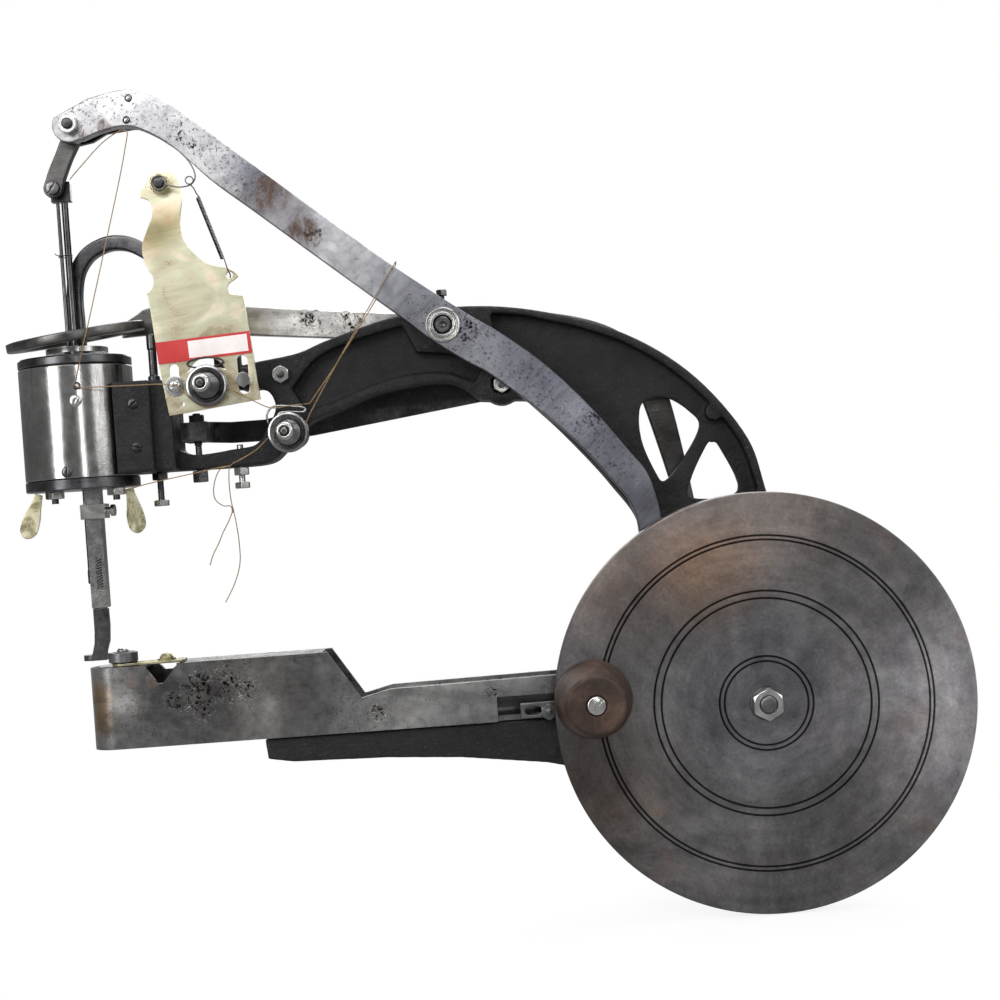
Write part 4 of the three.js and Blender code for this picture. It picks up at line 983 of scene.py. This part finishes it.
stud = spin("fulcrum_stud_detailed", [
    (0, -19.5), (3.9, -19.5), (4.6, -18.9), (4.6, -7.3), (6, -7.2), (6, 19), (4.6, 19), (4.6, 30),
    (0, 30)], FULCRUM, "Y", 64)
carve(stud, spin("cut", [(0, -21), (1.9, -21), (1.9, -18.4), (0, -17.2)], FULCRUM, "Y", 32))
merge_raw(stud, spin("rear_nut", hex_rings(15, 30, 35), FULCRUM, "Y", 72))
finish(stud, "fulcrum_stud", 0.15, material=MATERIALS["dark_steel"])
washer = spin("fulcrum_washer_detailed", [
    (5.3, -18.2), (5.6, -18.9), (6.8, -18.9), (7.2, -18.6), (7.4, -17.4), (8, -17.4), (8.1, -18.0),
    (9.4, -18.0), (9.9, -17.6), (9.9, -16.3), (5.3, -16.3)], FULCRUM, "Y", 72)
finish(washer, "fulcrum_washer", 0.15)

oil = spin("oil_screw_detailed", hex_rings(6, 199.2, 202.7), OIL_SCREW, "Z", 72)
merge_raw(oil, spin("stud", threads(1.7, 186, 199.4, 1.0), OIL_SCREW, "Z", 32))
merge_raw(oil, spin("nut", hex_rings(7, 193, 195.4), OIL_SCREW, "Z", 72, 20))
finish(oil, "oil_screw", 0.1, 2, 30)

post = spin("saddle_post_detailed", [
    (0, 161.3), (3.4, 161.3), (3.4, 163.6), (2.4, 164.4), (2.4, 179), (2.9, 179.6), (2.9, 187.3),
    (2.3, 188), (0, 188)], (45.8, -5, 0), "Z", 48)
finish(post, "saddle_post", 0.15)

for number, (x, nut, low, top, turn) in enumerate((
    (44.5, 108.6, 89.5, 121, 0), (67.8, 108.1, 101.5, 122.4, 14), (91.5, 108.1, 96.3, 121.5, 35)), 1):
    name = f"adjust_bolt_{number}"
    first = number == 1
    look = None if first else MATERIALS[SLOT[name]]
    stem(name + "_stem", name, 1.95, low + 3, top, (x, -2, 0), "Z", look, 0.95)
    made = spin(name + "_nut", hex_rings(8, nut - 4.2, nut), (x, -2, 0), "Z", 72, turn)
    dress(soften(made, *NUT_EDGE), name, material=MATERIALS["dark_steel"] if first else None)
    made = spin(name + "_head", hex_rings(8, low, low + 3.6), (x, -2, 0), "Z", 72, turn + 21)
    finish(made, name, *NUT_EDGE)

rounded("shaft_bush", 0.3)

for number, (x, z, turn) in enumerate(((36.4, 147.7, 40), (36.9, 123.2, -20)), 1):
    made = head(f"saddle_screw_{number}", (x, 0, z), 2.9, -23, -24.9, 0.3, turn, width=0.8, depth=0.9)
    dress(soften(made, 0.1), "frame_casting", slot="dark_steel", material=MATERIALS["spring_steel"])

# ---- Lower arm ----------------------------------------------------------------------------------------

rounded("lower_arm", 0.7, 3, material=ARM_STEEL)
rounded("throat_plate", 0.2)

SCREW_X = 16.8  # the edge guide's roller
guide = plate("edge_guide_plate_detailed", [
    *arc(SCREW_X, -6, 6.5, 90, 270, 24), (50, -13.5), (51.4, -13), (52, -11.5), (52, 0.5), (51.4, 1.6),
    (50, 2)], 0.3, 1.8, 0.3, [slot_outline(26, -6, 44, -6, 2.3), circle(SCREW_X, -6, 2.1)], flat=True)
merge_raw(guide, spin("dome_washer", rod(5.2, 1.75, 2.8), (41.5, -6, 0), "Z", 48))
merge_raw(guide, head("dome", (41.5, -6, 0), 3.9, 2.8, 5.7, 1.9, 20, axis="Z", width=0.8))
finish(guide, "edge_guide_plate", 0.12, material=DULL_ZINC)

shoulder = head("roller_screw_detailed", (SCREW_X, -6, 0), 3.3, 8.3, 10.4, 1.1, 35, axis="Z", width=0.8)
merge_raw(shoulder, spin("shank", rod(1.8, 0.6, 8.3), (SCREW_X, -6, 0), "Z", 32))
finish(shoulder, "roller_screw", 0.12)
roller = spin("guide_roller_detailed", [
    (2.1, 2.1), (7.8, 2.1), (8.3, 2.6), (8.3, 7.5), (7.8, 8), (6.7, 8), (6.5, 7.6), (4.1, 7.6), (3.9, 8),
    (2.1, 8)], (SCREW_X, -6, 0), "Z", 72)
finish(roller, "guide_roller", 0.15)

# ---- Shuttle drive ------------------------------------------------------------------------------------

for node in ("shuttle", "rack_bar"):
    rounded(node, 0.15)
rounded("bobbin", 0.2)
link_plate = plate("slider_link_detailed", [
    (241.5, -36.8), (288, -36.8), (288, -45.5), (241.5, -45.5), (241, -45), (241, -37.3)],
    -16.5, -13.5, 0.35, [slot_outline(246, -41.4, 250.5, -41.4, 2.4)])
merge_raw(link_plate, spin("nut", hex_rings(8.6, -19.6, -16.4), (257, 0, -42.3), "Y", 72, 8))
merge_raw(link_plate, spin("stud", threads(2, -20.5, -14, 0.9), (257, 0, -42.3), "Y", 32))
finish(link_plate, "slider_link", 0.12)

# ---- Hand wheel and knob ------------------------------------------------------------------------------

WHEEL_RADIUS = 117
WHEEL_FACE = -38
WHEEL_BACK = -24
CHANNEL = (19, 78, -31)  # the cam channel's radii, and its floor
inner, outer, floor_y = CHANNEL
rings = [(9.3, WHEEL_BACK), (9.3, WHEEL_FACE)]
for radius in GROOVES:
    rings += [(radius - 0.6, WHEEL_FACE), (radius - 0.3, -37.2), (radius + 0.3, -37.2),
              (radius + 0.6, WHEEL_FACE)]
rings += [(115.9, WHEEL_FACE), (116.6, -37.8), (WHEEL_RADIUS, -37.2), (WHEEL_RADIUS, -24.9), (116.6, -24.3),
          (115.8, WHEEL_BACK), (outer, WHEEL_BACK), (outer, floor_y), (inner, floor_y), (inner, WHEEL_BACK)]
wheel = spin("hand_wheel_detailed", rings, WHEEL, "Y", 256)
carve(wheel, spin("cut", rod(4.3, -50, -20), KNOB, "Y", 32))
finish(wheel, "hand_wheel", 0.2, 2, 30)

shaft = spin("main_shaft_detailed", [(0, -38), (9, -38), (9, 59.2), (8.2, 60), (0, 60)], WHEEL, "Y", 64)
merge_raw(shaft, spin("stud", threads(4.8, -47.5, -37, 1.5), WHEEL, "Y", 48))
finish(shaft, "main_shaft", 0.15)
nut = spin("wheel_nut_detailed", hex_rings(16, -46.3, -38.3, 5.1), WHEEL, "Y", 96, 20)
finish(nut, "wheel_nut", 0.2, 2, 30)
rounded("feed_cam", 0.8, 3)

knob = spin("crank_knob_detailed", [
    (4.3, -38.5), (20.4, -38.5), (21.2, -39.2), (21.5, -40.4), (21.5, -44.6), (21.1, -46), (19.9, -54),
    (17.8, -64), (16.7, -70.6), (16.1, -72.2), (14.8, -73), (8, -73), (5.9, -72.8), (5.6, -72.2),
    (5.6, -71.5), (4.3, -71.5)], KNOB, "Y", 96)
finish(knob, "crank_knob", 0.3, 2, 30)
screw = head("knob_screw_detailed", KNOB, 4.9, -71.8, -73.6, 0.3, 45, depth=1.0, width=1.1)
merge_raw(screw, spin("shank", rod(4, -71.9, -27), KNOB, "Y", 32))
finish(screw, "knob_screw", 0.15)

# ---- Needle lever -------------------------------------------------------------------------------------

LEVER_TOP = [(22, 322.7), (41, 326), (53, 324), (66, 317.3), (81, 305.2), (114, 277), (159, 239),
             (186, 216.6), (224, 187.8), (246, 172.7), (271, 152), (295, 125.5), (312, 103), (322.5, 88),
             (327.5, 70), (329.5, 50), (331, 10), (326, -25)]
LEVER_LOW = [(300, -38), (309, -10), (314.5, 25), (315.5, 55), (312, 71), (303, 84.5), (281, 111.6),
             (258, 133.2), (237, 151), (224, 159.2), (205, 173), (191, 185.2), (157, 213.6), (112, 251.6),
             (88, 271.8), (68, 292), (51, 303), (40, 305.5), (28, 303.6), (17, 299.8)]
LEVER = [*spline(LEVER_TOP, 110), *arc(311, -43, 13.5, 10, -190, 28), *spline(LEVER_LOW, 120),
         *arc(10.4, 308.3, 9.8, -60, -210, 24)]
LEVER_NEAR, LEVER_FAR = -16, -8
lever = plate("needle_lever_detailed", LEVER, LEVER_NEAR, LEVER_FAR, 0.7, [
    circle(213, 180, 4.9), circle(10.4, 308.3, 3.3), circle(45, 321, 1.8), circle(43, 308.7, 1.8)], 3)
merge_raw(lever, spin("roller_pin", rod(3, -30.5, -15), (310, 0, -44), "Y", 32))
finish(lever, "needle_lever", material=LEVER_STEEL)

fork = plate("fork_plate_detailed", [
    *arc(10.4, 308.3, 9.2, 80, 270, 20), (20, 300.8), (28, 305), (44, 306.6), (54, 305.8), (54, 321),
    (44, 324.5), (24, 322)], -1.9, 1.6, 0.3, [circle(10.4, 308.3, 3.3)])
SPACER = [(36, 306), (54, 305.8), (54, 321), (44, 324.5), (36, 323.5)]
merge_raw(fork, plate("fork_spacer", SPACER, -7.7, -1.5, 0.3))
RIVET = [(0, -16.8), (1.1, -16.75), (1.6, -16.45), (1.75, -16.05), (1.75, -9), (0, -9)]
finish(fork, "fork_plate")
for number, (x, z) in enumerate(((45, 321), (43, 308.7)), 1):
    rivet = spin(f"lever_rivet_{number}", RIVET, (x, 0, z), "Y", 32)
    dress(soften(rivet, 0), "fork_plate", slot="steel", material=PRESSER_STEEL)
pin = spin("link_pin_detailed", hex_rings(10, -20.6, -16.3), LINK_PIN, "Y", 72, 17)
stem("link_pin_stem", "link_pin", 3.2, -22, -15.5, LINK_PIN, pitch=1.0)
merge_raw(pin, spin("pin", rod(3, -16.5, 4), LINK_PIN, "Y", 40))
merge_raw(pin, spin("nut", hex_rings(9, 1.9, 4.5), LINK_PIN, "Y", 72, 3))
finish(pin, "link_pin", *NUT_EDGE)
rounded("cam_roller", 0.2)

# ---- Drop link and needle bar -------------------------------------------------------------------------

drop = plate("drop_link_detailed", [
    *arc(10.4, 308.3, 6, 150, -20, 16),
    *spline([(15.2, 303), (12.4, 298), (8, 290), (4, 281), (1.8, 275)], 16),
    *arc(-3.6, 275, 5.4, 0, -190, 18), *spline([(-8.6, 277), (-5, 286), (-1, 294), (2.6, 302)], 16)],
    -7.6, -2.2, 0.8, [circle(10.4, 308.3, 3.3), circle(-3.6, 275, 3.4)], 3)
finish(drop, "drop_link", material=RING_BAR_STEEL)
needle_block = block("needle_block_detailed", -6.5, 4.8, -1.6, 3.9, 268, 279.5)
merge_raw(needle_block, spin("screw", rod(1.6, -8.5, -1), LINK_SCREW, "Y", 32))
finish(needle_block, "needle_block", 0.35)
made = head("link_screw_head", LINK_SCREW, 4, -8, -10, 0.5, 55, depth=1.1)
dress(soften(made, 0.15), "needle_block", material=MATERIALS["steel"], slot="steel")



def rod_rings(radius, low, high):
    """The rings of a cylinder with chamfered ends."""
    return [(0, low), (radius - 0.35, low), (radius, low + 0.5),
            (radius, high - 0.5), (radius - 0.35, high), (0, high)]


needle_bar = spin("needle_bar_detailed", rod_rings(2, 48, 267.6), (0.9, 0, 0), "Z", 40)
merge_raw(needle_bar, spin("clamp", rod_rings(2.3, 48, 56), (0.9, 0, 0), "Z", 40))
finish(needle_bar, "needle_bar", material=ROD_STEEL)
dress(soften(spin("guide_rod_detailed", rod_rings(1.05, 128, 267.6), (-3, 0, 0), "Z", 32), 0),
      "guide_rod", "guide_rod", material=ROD_STEEL)
NEEDLE = [(0, 7), (0.3, 9), (0.9, 14), (0.9, 47.5), (0, 47.7)]
dress(soften(spin("needle_detailed", NEEDLE, (0.9, 0, 0), "Z", 24), 0), "needle", "needle")
turns = [(-0.9 + 4.0 * math.cos(a / 12 * math.pi), 2.5 * math.sin(a / 12 * math.pi), 236 + a * 0.05)
         for a in range(37)]
tie = tube("tie_wire", [*turns, (-5.6, -1.4, 237.4), (-6.2, -2.2, 238.6)], 0.25, sides=3)
dress(soften(tie, 0), "needle_bar", slot="dark_steel")

# ---- Head ---------------------------------------------------------------------------------------------

cylinder = spin("head_cylinder_detailed", [
    (13, 108.1), (31.6, 108.1), (32, 108.6), (32, 171.4), (31.6, 171.9), (13, 171.9)], (0, 0, 0), "Z", 128)
finish(cylinder, "head_cylinder", 0.15, material=CYLINDER_STEEL)
top_cap = spin("head_top_cap_detailed", [
    (13, 172.2), (31.4, 172.2), (32, 172.8), (32, 176.6), (31, 177.5), (13, 177.5)], (0, 0, 0), "Z", 128)
finish(top_cap, "head_top_cap", 0.15)


def on_cylinder(name, x, z, radius, sunk, proud, dome, slot, slot_name="dark_steel"):
    """A slotted screw whose flat head sits on the near side of the cylinder."""
    surface = -math.sqrt(HEAD_RADIUS ** 2 - x ** 2)
    made = head(name, (x, 0, z), radius, surface + sunk, surface - proud, dome, slot, width=0.8, depth=1.0)
    return dress(soften(made, 0.12), "head_cylinder", slot=slot_name)


on_cylinder("cylinder_screw_upper", 6.2, 151.2, 3.4, 1.4, 1.3, 0.4, 60, "zinc")
on_cylinder("cylinder_screw_lower", -1.2, 111.9, 3.1, 1.2, 1.0, 0.4, 90)
eyelet = tube("thread_eyelet", [
    (7.4, -30.5, 158.2), (7.4, -32.6, 158.4), *[
        (8 + 1.7 * math.cos(a / 8 * math.pi), -33.6 + 0.05 * a, 159.6 + 1.7 * math.sin(a / 8 * math.pi))
        for a in range(-5, 17)], (9.4, -32, 158), (9, -30.5, 157.6)], 0.45, sides=3)
dress(soften(eyelet, 0), "head_cylinder", slot="dark_steel", material=MATERIALS["spring_steel"])

swivel = rounded("head_swivel", 0.35)
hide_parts("head_swivel")
for number, x in enumerate((-14.5, 20.5), 1):
    made = spin(f"head_bolt_{number}", hex_rings(9.6, 97.7, 101.9), (x, -9.5, 0), "Z", 72, 9 * number)
    dress(soften(made, *NUT_EDGE), "head_swivel", slot="zinc")
for number, blade in enumerate(((-22.5, -14, 20), (28, -9, -8)), 1):
    node = ("wing_left", "wing_right")[number - 1]
    x, y, lean = blade
    outline = [(-2.2, 0.2), *spline([(-3.2, -8), (-5, -16), (-4.3, -23), (0, -26), (4.6, -22.5), (5, -15),
                                     (3.4, -7)], 40), (2.2, 0.2)]
    made = plate(node + "_detailed", outline, -0.7, 0.7, 0.3)
    spin_lean = Matrix.Rotation(math.radians(lean), 4, "Y")
    move = Matrix.Translation(at(x, y, 100.8))
    made.data.transform(move @ spin_lean @ Matrix.Translation(ORIGIN * MM))
    finish(made, node, material=WING_ZINC)

# ---- Presser bar and foot -----------------------------------------------------------------------------

rounded("presser_bar", 0.45, 3, material=PRESSER_STEEL)
foot_spring = tube("foot_spring", coil_points((6.5, -3.5, 45), (6.5, -3.5, 62), 0.9, 11, 10), 0.3, sides=2)
dress(soften(foot_spring, 0), "presser_bar", material=MATERIALS["dark_steel"])
rounded("foot_clamp", 0.4, material=MATERIALS["zinc"])
rounded("presser_foot", 0.5, 3)
neck = block("foot_neck", 2.4, 9.2, -4.3, -2.9, 31, 37)
dress(soften(neck, 0.2), "presser_foot")

# ---- Bow, ring lever, lift lever ----------------------------------------------------------------------

BOW = spline([(1, 184), (1, 200), (1, 215), (3.5, 228), (10, 237.5), (19, 242.5), (28, 243.7), (38, 241),
              (50, 232), (62, 216), (74, 197), (84, 184)], 80)


def offset_line(line, distance):
    found = []
    for i, (x, z) in enumerate(line):
        ax, az = line[max(i - 1, 0)]
        bx, bz = line[min(i + 1, len(line) - 1)]
        length = math.hypot(bx - ax, bz - az)
        found.append((x - distance * (bz - az) / length, z + distance * (bx - ax) / length))
    return found


bow = plate("pressure_bow_detailed", offset_line(BOW, 4.3) + offset_line(BOW, -4.3)[::-1], 4.3, 12.9, 1.6,
            steps=4)
merge_raw(bow, spin("bow_eye", [(3.3, 4.3), (7.4, 4.3), (8, 4.9), (8, 12.3), (7.4, 12.9), (3.3, 12.9)],
                    BOW_EYE, "Y", 48))
finish(bow, "pressure_bow")

ring = spin("ring_lever_detailed", [
    (29.6, -2.7), (38.8, -2.7), (39.5, -2), (39.5, 2), (38.8, 2.7), (29.6, 2.7), (29, 2.1), (29, -2.1)],
    (0, 0, 0), "Z", 128)
ring.data.transform(
    Matrix.Translation(at(1.8, 0, 190)) @ Matrix.Rotation(math.radians(-6.5), 4, "Y")
    @ Matrix.Rotation(math.radians(5.5), 4, "X") @ Matrix.Translation(ORIGIN * MM))
RING_BAR = [
    *spline([(24, 197.5), (33, 202.5), (40, 206), (60, 207.2), (98, 203), (186, 192.5), (213, 191.5),
             (250, 190), (290, 183), (317, 171), (335, 150), (343, 125), (352, 70), (357, 30), (360, 0)], 90),
    (361, -15), (356, -22), (349, -16),
    *spline([(347, 0), (344, 40), (342, 66), (331, 112), (322, 140), (308, 158), (285, 168), (250, 173),
             (213, 169), (186, 176), (98, 186), (60, 190), (40, 190.5), (24, 190)], 80)]
merge_raw(ring, plate("ring_bar", RING_BAR, 20, 26, 0.8, [circle(213, 180, 4.9)], 3))
merge_raw(ring, spin("hub", [(4.9, 20.3), (11.4, 20.3), (12, 21), (12, 28.4), (11.4, 29), (4.9, 29)],
                     FULCRUM, "Y", 64))
FOLLOWER = [(0, 21), (7, 21), (7, 47.2), (6.3, 48), (0, 48)]
merge_raw(ring, spin("follower", FOLLOWER, (355.6, 0, -15.2), "Y", 48))
finish(ring, "ring_lever", material=RING_BAR_STEEL)
rounded("lift_lever", 0.8, 3)

# ---- Tension plate ------------------------------------------------------------------------------------

PLATE = [
    (55.8, 139.6),
    *spline([(52, 168), (49, 204.6), (48.2, 209)], 8),
    *spline([(51.5, 212.5), (52.3, 218), (49.8, 223), (47.8, 228.5), (47.4, 236.3), (51.5, 246.7),
             (54.1, 252.2), (54.6, 257.8), (52.6, 261.7), (48.3, 263.7)], 48),
    *spline([(48.9, 267.9), (51.5, 269.4), (54.8, 275), (59.3, 277.5), (63.4, 277.5), (67.8, 275.5),
             (70.3, 271.4), (71.7, 261.7), (69.8, 249.4), (71.2, 238), (76.2, 230.3), (82.1, 224.7),
             (88.4, 222), (93.7, 220.8), (98.6, 217.9), (99.8, 215), (94.1, 210.9), (94.9, 205.7)], 80),
    (102.4, 204), (104, 185), (105.4, 171.6), (107.7, 145.4)]
PLATE_NEAR, PLATE_FAR = -20.3, -18.5
tension_plate = plate("tension_plate_detailed", PLATE, PLATE_NEAR, PLATE_FAR, 0.25, [
    slot_outline(60.2, 155, 60.2, 166, 2.7), slot_outline(99, 152, 99, 168, 2.9),
    [*arc(78.7, 160, 11, 160, 20, 20), (86, 165), (71.4, 165)], circle(95.4, 216.4, 1.9),
    circle(60.4, 270, 3.3), circle(78.7, 155, 3.3), circle(63.9, 145.8, 1)])
finish(tension_plate, "tension_plate")
label = plate("plate_label_detailed", [(50.9, 181.3), (104.3, 184.2), (105.1, 171.8), (52, 168.9)],
              -20.9, -20.62, 0.06)
finish(label, "plate_label")

phillips = head("plate_screw_detailed", (60.2, 0, 156), 3.6, -21.3, -23.4, 0.8, 12, cross=True, width=0.9)
merge_raw(phillips, spin("washer", [(0, -20.6), (5.7, -20.6), (5.7, -21.3), (5.4, -21.5), (0, -21.5)],
                         (60.2, 0, 156), "Y", 48))
finish(phillips, "plate_screw", 0.1)
top_stud = spin("plate_stud_detailed", hex_rings(10, -25.5, -20.6), PLATE_STUD, "Y", 72, 12)
stem("plate_stud_stem", "plate_stud", 3, -28, -24.5, PLATE_STUD, pitch=1.0)
merge_raw(top_stud, spin("collar", rod(4.6, -18.2, -16.4), PLATE_STUD, "Y", 40))
finish(top_stud, "plate_stud", *NUT_EDGE, material=WING_ZINC)

# ---- Tensions -----------------------------------------------------------------------------------------


def tension(name, x, z, rear, stack):
    """Two dished discs with the thread between them, a cone spring, and a knurled nut on a post."""
    centre = (x, 0, z)
    discs = spin(name + "_discs_detailed", [
        (0, rear), (4, rear), (4.2, rear - 1.5), (10.2, rear - 0.9), (11.3, rear - 1.15), (11.6, rear - 1.6),
        (11.2, rear - 1.8), (9.8, rear - 1.6), (7.6, rear - 2.8), (7.6, rear - 3.2), (9.8, rear - 4.4),
        (11.2, rear - 4.2), (11.6, rear - 4.4), (11.3, rear - 4.85), (10.2, rear - 5.1), (6.4, rear - 3.9),
        (5, rear - 3.9), (0, rear - 3.9)], centre, "Y", 96)
    merge_raw(discs, spin("post", threads(2, rear - stack - 1.6, rear + 9, 0.9), centre, "Y", 32))
    dress(soften(discs, *NUT_EDGE), name + "_discs", name + "_discs", material=DISH_STEEL)
    spring = tube(name + "_spring", coil_points(
        (x, rear - 5.0, z), (x, rear - stack + 6.4, z), lambda t: 6.9 - 2.4 * t, 6, 24), 0.55, sides=3)
    dress(soften(spring, 0), name + "_discs", material=DISH_STEEL)
    knurl = lambda radius: lambda a: radius + 0.18 * math.cos(28 * a)
    low, high = rear - stack, rear - stack + 6
    made = spin(name + "_nut_detailed", [
        (2.3, high), (3.4, high), (4.9, high - 0.3), (knurl(5.2), high - 0.8), (knurl(5.2), low + 1.4),
        (4.9, low + 0.8), (4.0, low), (2.3, low)], centre, "Y", 168)
    dress(soften(made, 0), name + "_nut", name + "_nut")


tension("upper_tension", 78.7, 155, -21.1, 26)
tension("lower_tension", 121, 126, -9.6, 22)

# Wire guides: an oval ring above the upper tension, and a loop above the lower one.
oval = [(78.2 + 10.2 * math.cos(a / 20 * math.pi), -21.6, 168 + 2.8 * math.sin(a / 20 * math.pi))
        for a in range(40)]
guide_ring = tube("upper_wire_guide", oval, 0.5, closed=True)
dress(soften(guide_ring, 0), "tension_plate", slot="zinc", material=MATERIALS["dark_steel"])
loop = spline([(110, -11, 132), (109.4, -11.4, 136.5), (112.5, -11.8, 140.8), (118, -12, 141.4),
               (124, -12, 140.6), (130, -12, 139.6), (131.6, -12, 138), (129.5, -12, 137),
               (123, -12, 137.6), (117, -11.6, 137.4), (114, -10.8, 134)], 60)
dress(soften(tube("lower_wire_guide", loop, 0.6), 0), "frame_casting", slot="zinc")

# ---- Take-up wire and its spring ----------------------------------------------------------------------

TAKE_UP = [
    *[(60.4 + 4 * math.cos(a), -26.65, 270 + 4 * math.sin(a)) for a in
      (math.radians(20 - 15 * i) for i in range(24))],
    (64.6, -26.6, 269), (68, -26.4, 267.6), (72, -25.6, 266.8), (78, -24.4, 268), (80.8, -24, 272.6),
    (78.5, -24, 280), (72.5, -24, 287.5), (65.5, -24, 293)]
take_up = tube("take_up_wire_detailed", TAKE_UP, 0.4, 130)
finish(take_up, "take_up_wire", material=MATERIALS["steel"])
hook = [(77.4 + 2.2 * math.cos(a / 8 * math.pi), -24.5 - 0.03 * a, 270.4 + 2.2 * math.sin(a / 8 * math.pi))
        for a in range(-4, 15)]
dress(soften(tube("take_up_hook", hook, 0.38, sides=3), 0), "take_up_wire", material=MATERIALS["steel"])

spring_line = [
    (95.4, -19.8, 215.2), (95.9, -21.2, 214.9), (96.2, -22.6, 216.2), (95, -23.2, 219), *coil_points(
        (92.6, -23.4, 225.5), (81.4, -24.1, 260.5), 1.0, 44, 10),
    (80.6, -24.1, 263), (79.8, -24.6, 265.4), (78.6, -24.9, 267), (77.8, -24, 268.6)]
spring = tube("extension_spring_detailed", spring_line, 0.34, sides=2)
soften(spring, 0)
spring.data.materials.append(MATERIALS["spring_steel"])
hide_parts("extension_spring")
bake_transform(spring)

# ---- Floor and light ----------------------------------------------------------------------------------

FLOOR = CAD_BOUNDS[0][2] - 0.0005
floor = link("floor", bpy.data.meshes.new("floor"))
bm = bmesh.new()
bmesh.ops.create_circle(bm, cap_ends=True, segments=96, radius=6.0)
bm.to_mesh(floor.data)
bm.free()
floor.location = (0, 0, FLOOR)
s = Shader("floor")
shade = s.ramp(s.noise(2.0, 3, 0.5), [(0.4, (0.86, 0.86, 0.86)), (0.6, (0.88, 0.88, 0.88))])
s.done(shade, 0.9, 0.0)
away = s.node("ShaderNodeVectorMath", {0: s.coords, 1: (0.03, 0.0, 0.0)}, operation="DISTANCE")
seen = s.node("ShaderNodeLightPath").outputs["Is Camera Ray"]
glow = s.node("ShaderNodeEmission", {"Strength": s.span(seen, 0, 1, 0.4, 1.0)})
sweep = s.node("ShaderNodeMixShader", {0: s.span(away.outputs["Value"], 0.05, 0.35, 0.85, 1.0)})
s.tree.links.new(s.bsdf.outputs[0], sweep.inputs[1])
s.tree.links.new(glow.outputs[0], sweep.inputs[2])
s.tree.links.new(sweep.outputs[0], s.tree.nodes["Material Output"].inputs["Surface"])
floor.data.materials.append(s.material)


def area_light(name, place, target, size, power):
    data = bpy.data.lights.new(name, "AREA")
    data.shape = "RECTANGLE"
    data.size, data.size_y = size
    data.energy = power
    lamp = link(name, data)
    spot = Vector(place)
    lamp.location = spot
    lamp.rotation_euler = (Vector(target) - spot).to_track_quat("-Z", "Y").to_euler()


for lamp in (
    ("key", (-1.04, -1.08, 0.6), (-0.3, 0, 0.2), (0.42, 1.0), 10.0),
    ("over", (-0.55, -1.35, 1.05), (-0.25, 0, 0.3), (0.9, 0.5), 8.0),
    ("strip", (0.03, -1.2, 0.36), (-0.35, 0, 0.22), (0.07, 0.5), 1.3),
    ("fill", (1.5, -1.2, 0.9), (0.0, 0, 0.1), (1.0, 1.2), 12),
    ("top", (0.1, 0.2, 1.7), (-0.1, 0, 0.1), (1.6, 1.0), 24),
    ("rear", (-0.4, 1.7, 1.0), (-0.1, 0, 0.15), (1.6, 0.8), 16),
):
    area_light(*lamp)

world = bpy.data.worlds.new("studio")
bpy.context.scene.world = world
world.use_nodes = True
tree = world.node_tree
SKY_STRENGTH = 0.45


def sky_node(kind, **settings):
    made = tree.nodes.new(kind)
    for key, value in settings.items():
        setattr(made, key, value)
    return made


# The machine is lit by a grey that brightens upwards, and the camera sees plain white.
sky_coords = sky_node("ShaderNodeTexCoord")
upward = sky_node("ShaderNodeSeparateXYZ")
half_up = sky_node("ShaderNodeMath", operation="MULTIPLY_ADD")
half_up.inputs[1].default_value = half_up.inputs[2].default_value = 0.5
grey = sky_node("ShaderNodeValToRGB")
for element, position, value in zip(grey.color_ramp.elements, (0.42, 0.75), (0.2, 0.95)):
    element.position = position
    element.color = (value, value, value, 1)
lit_sky = tree.nodes["Background"]
lit_sky.inputs["Strength"].default_value = SKY_STRENGTH
white_sky = sky_node("ShaderNodeBackground")
white_sky.inputs["Color"].default_value = (1, 1, 1, 1)
white_sky.inputs["Strength"].default_value = 1.0
path = sky_node("ShaderNodeLightPath")
both = sky_node("ShaderNodeMixShader")
for output, socket in (
    (sky_coords.outputs["Generated"], upward.inputs[0]), (upward.outputs["Z"], half_up.inputs[0]),
    (half_up.outputs[0], grey.inputs["Fac"]), (grey.outputs["Color"], lit_sky.inputs["Color"]),
    (path.outputs["Is Camera Ray"], both.inputs["Fac"]), (lit_sky.outputs[0], both.inputs[1]),
    (white_sky.outputs[0], both.inputs[2]), (both.outputs[0], tree.nodes["World Output"].inputs["Surface"]),
):
    tree.links.new(output, socket)
bpy.context.scene.view_settings.view_transform = "Standard"
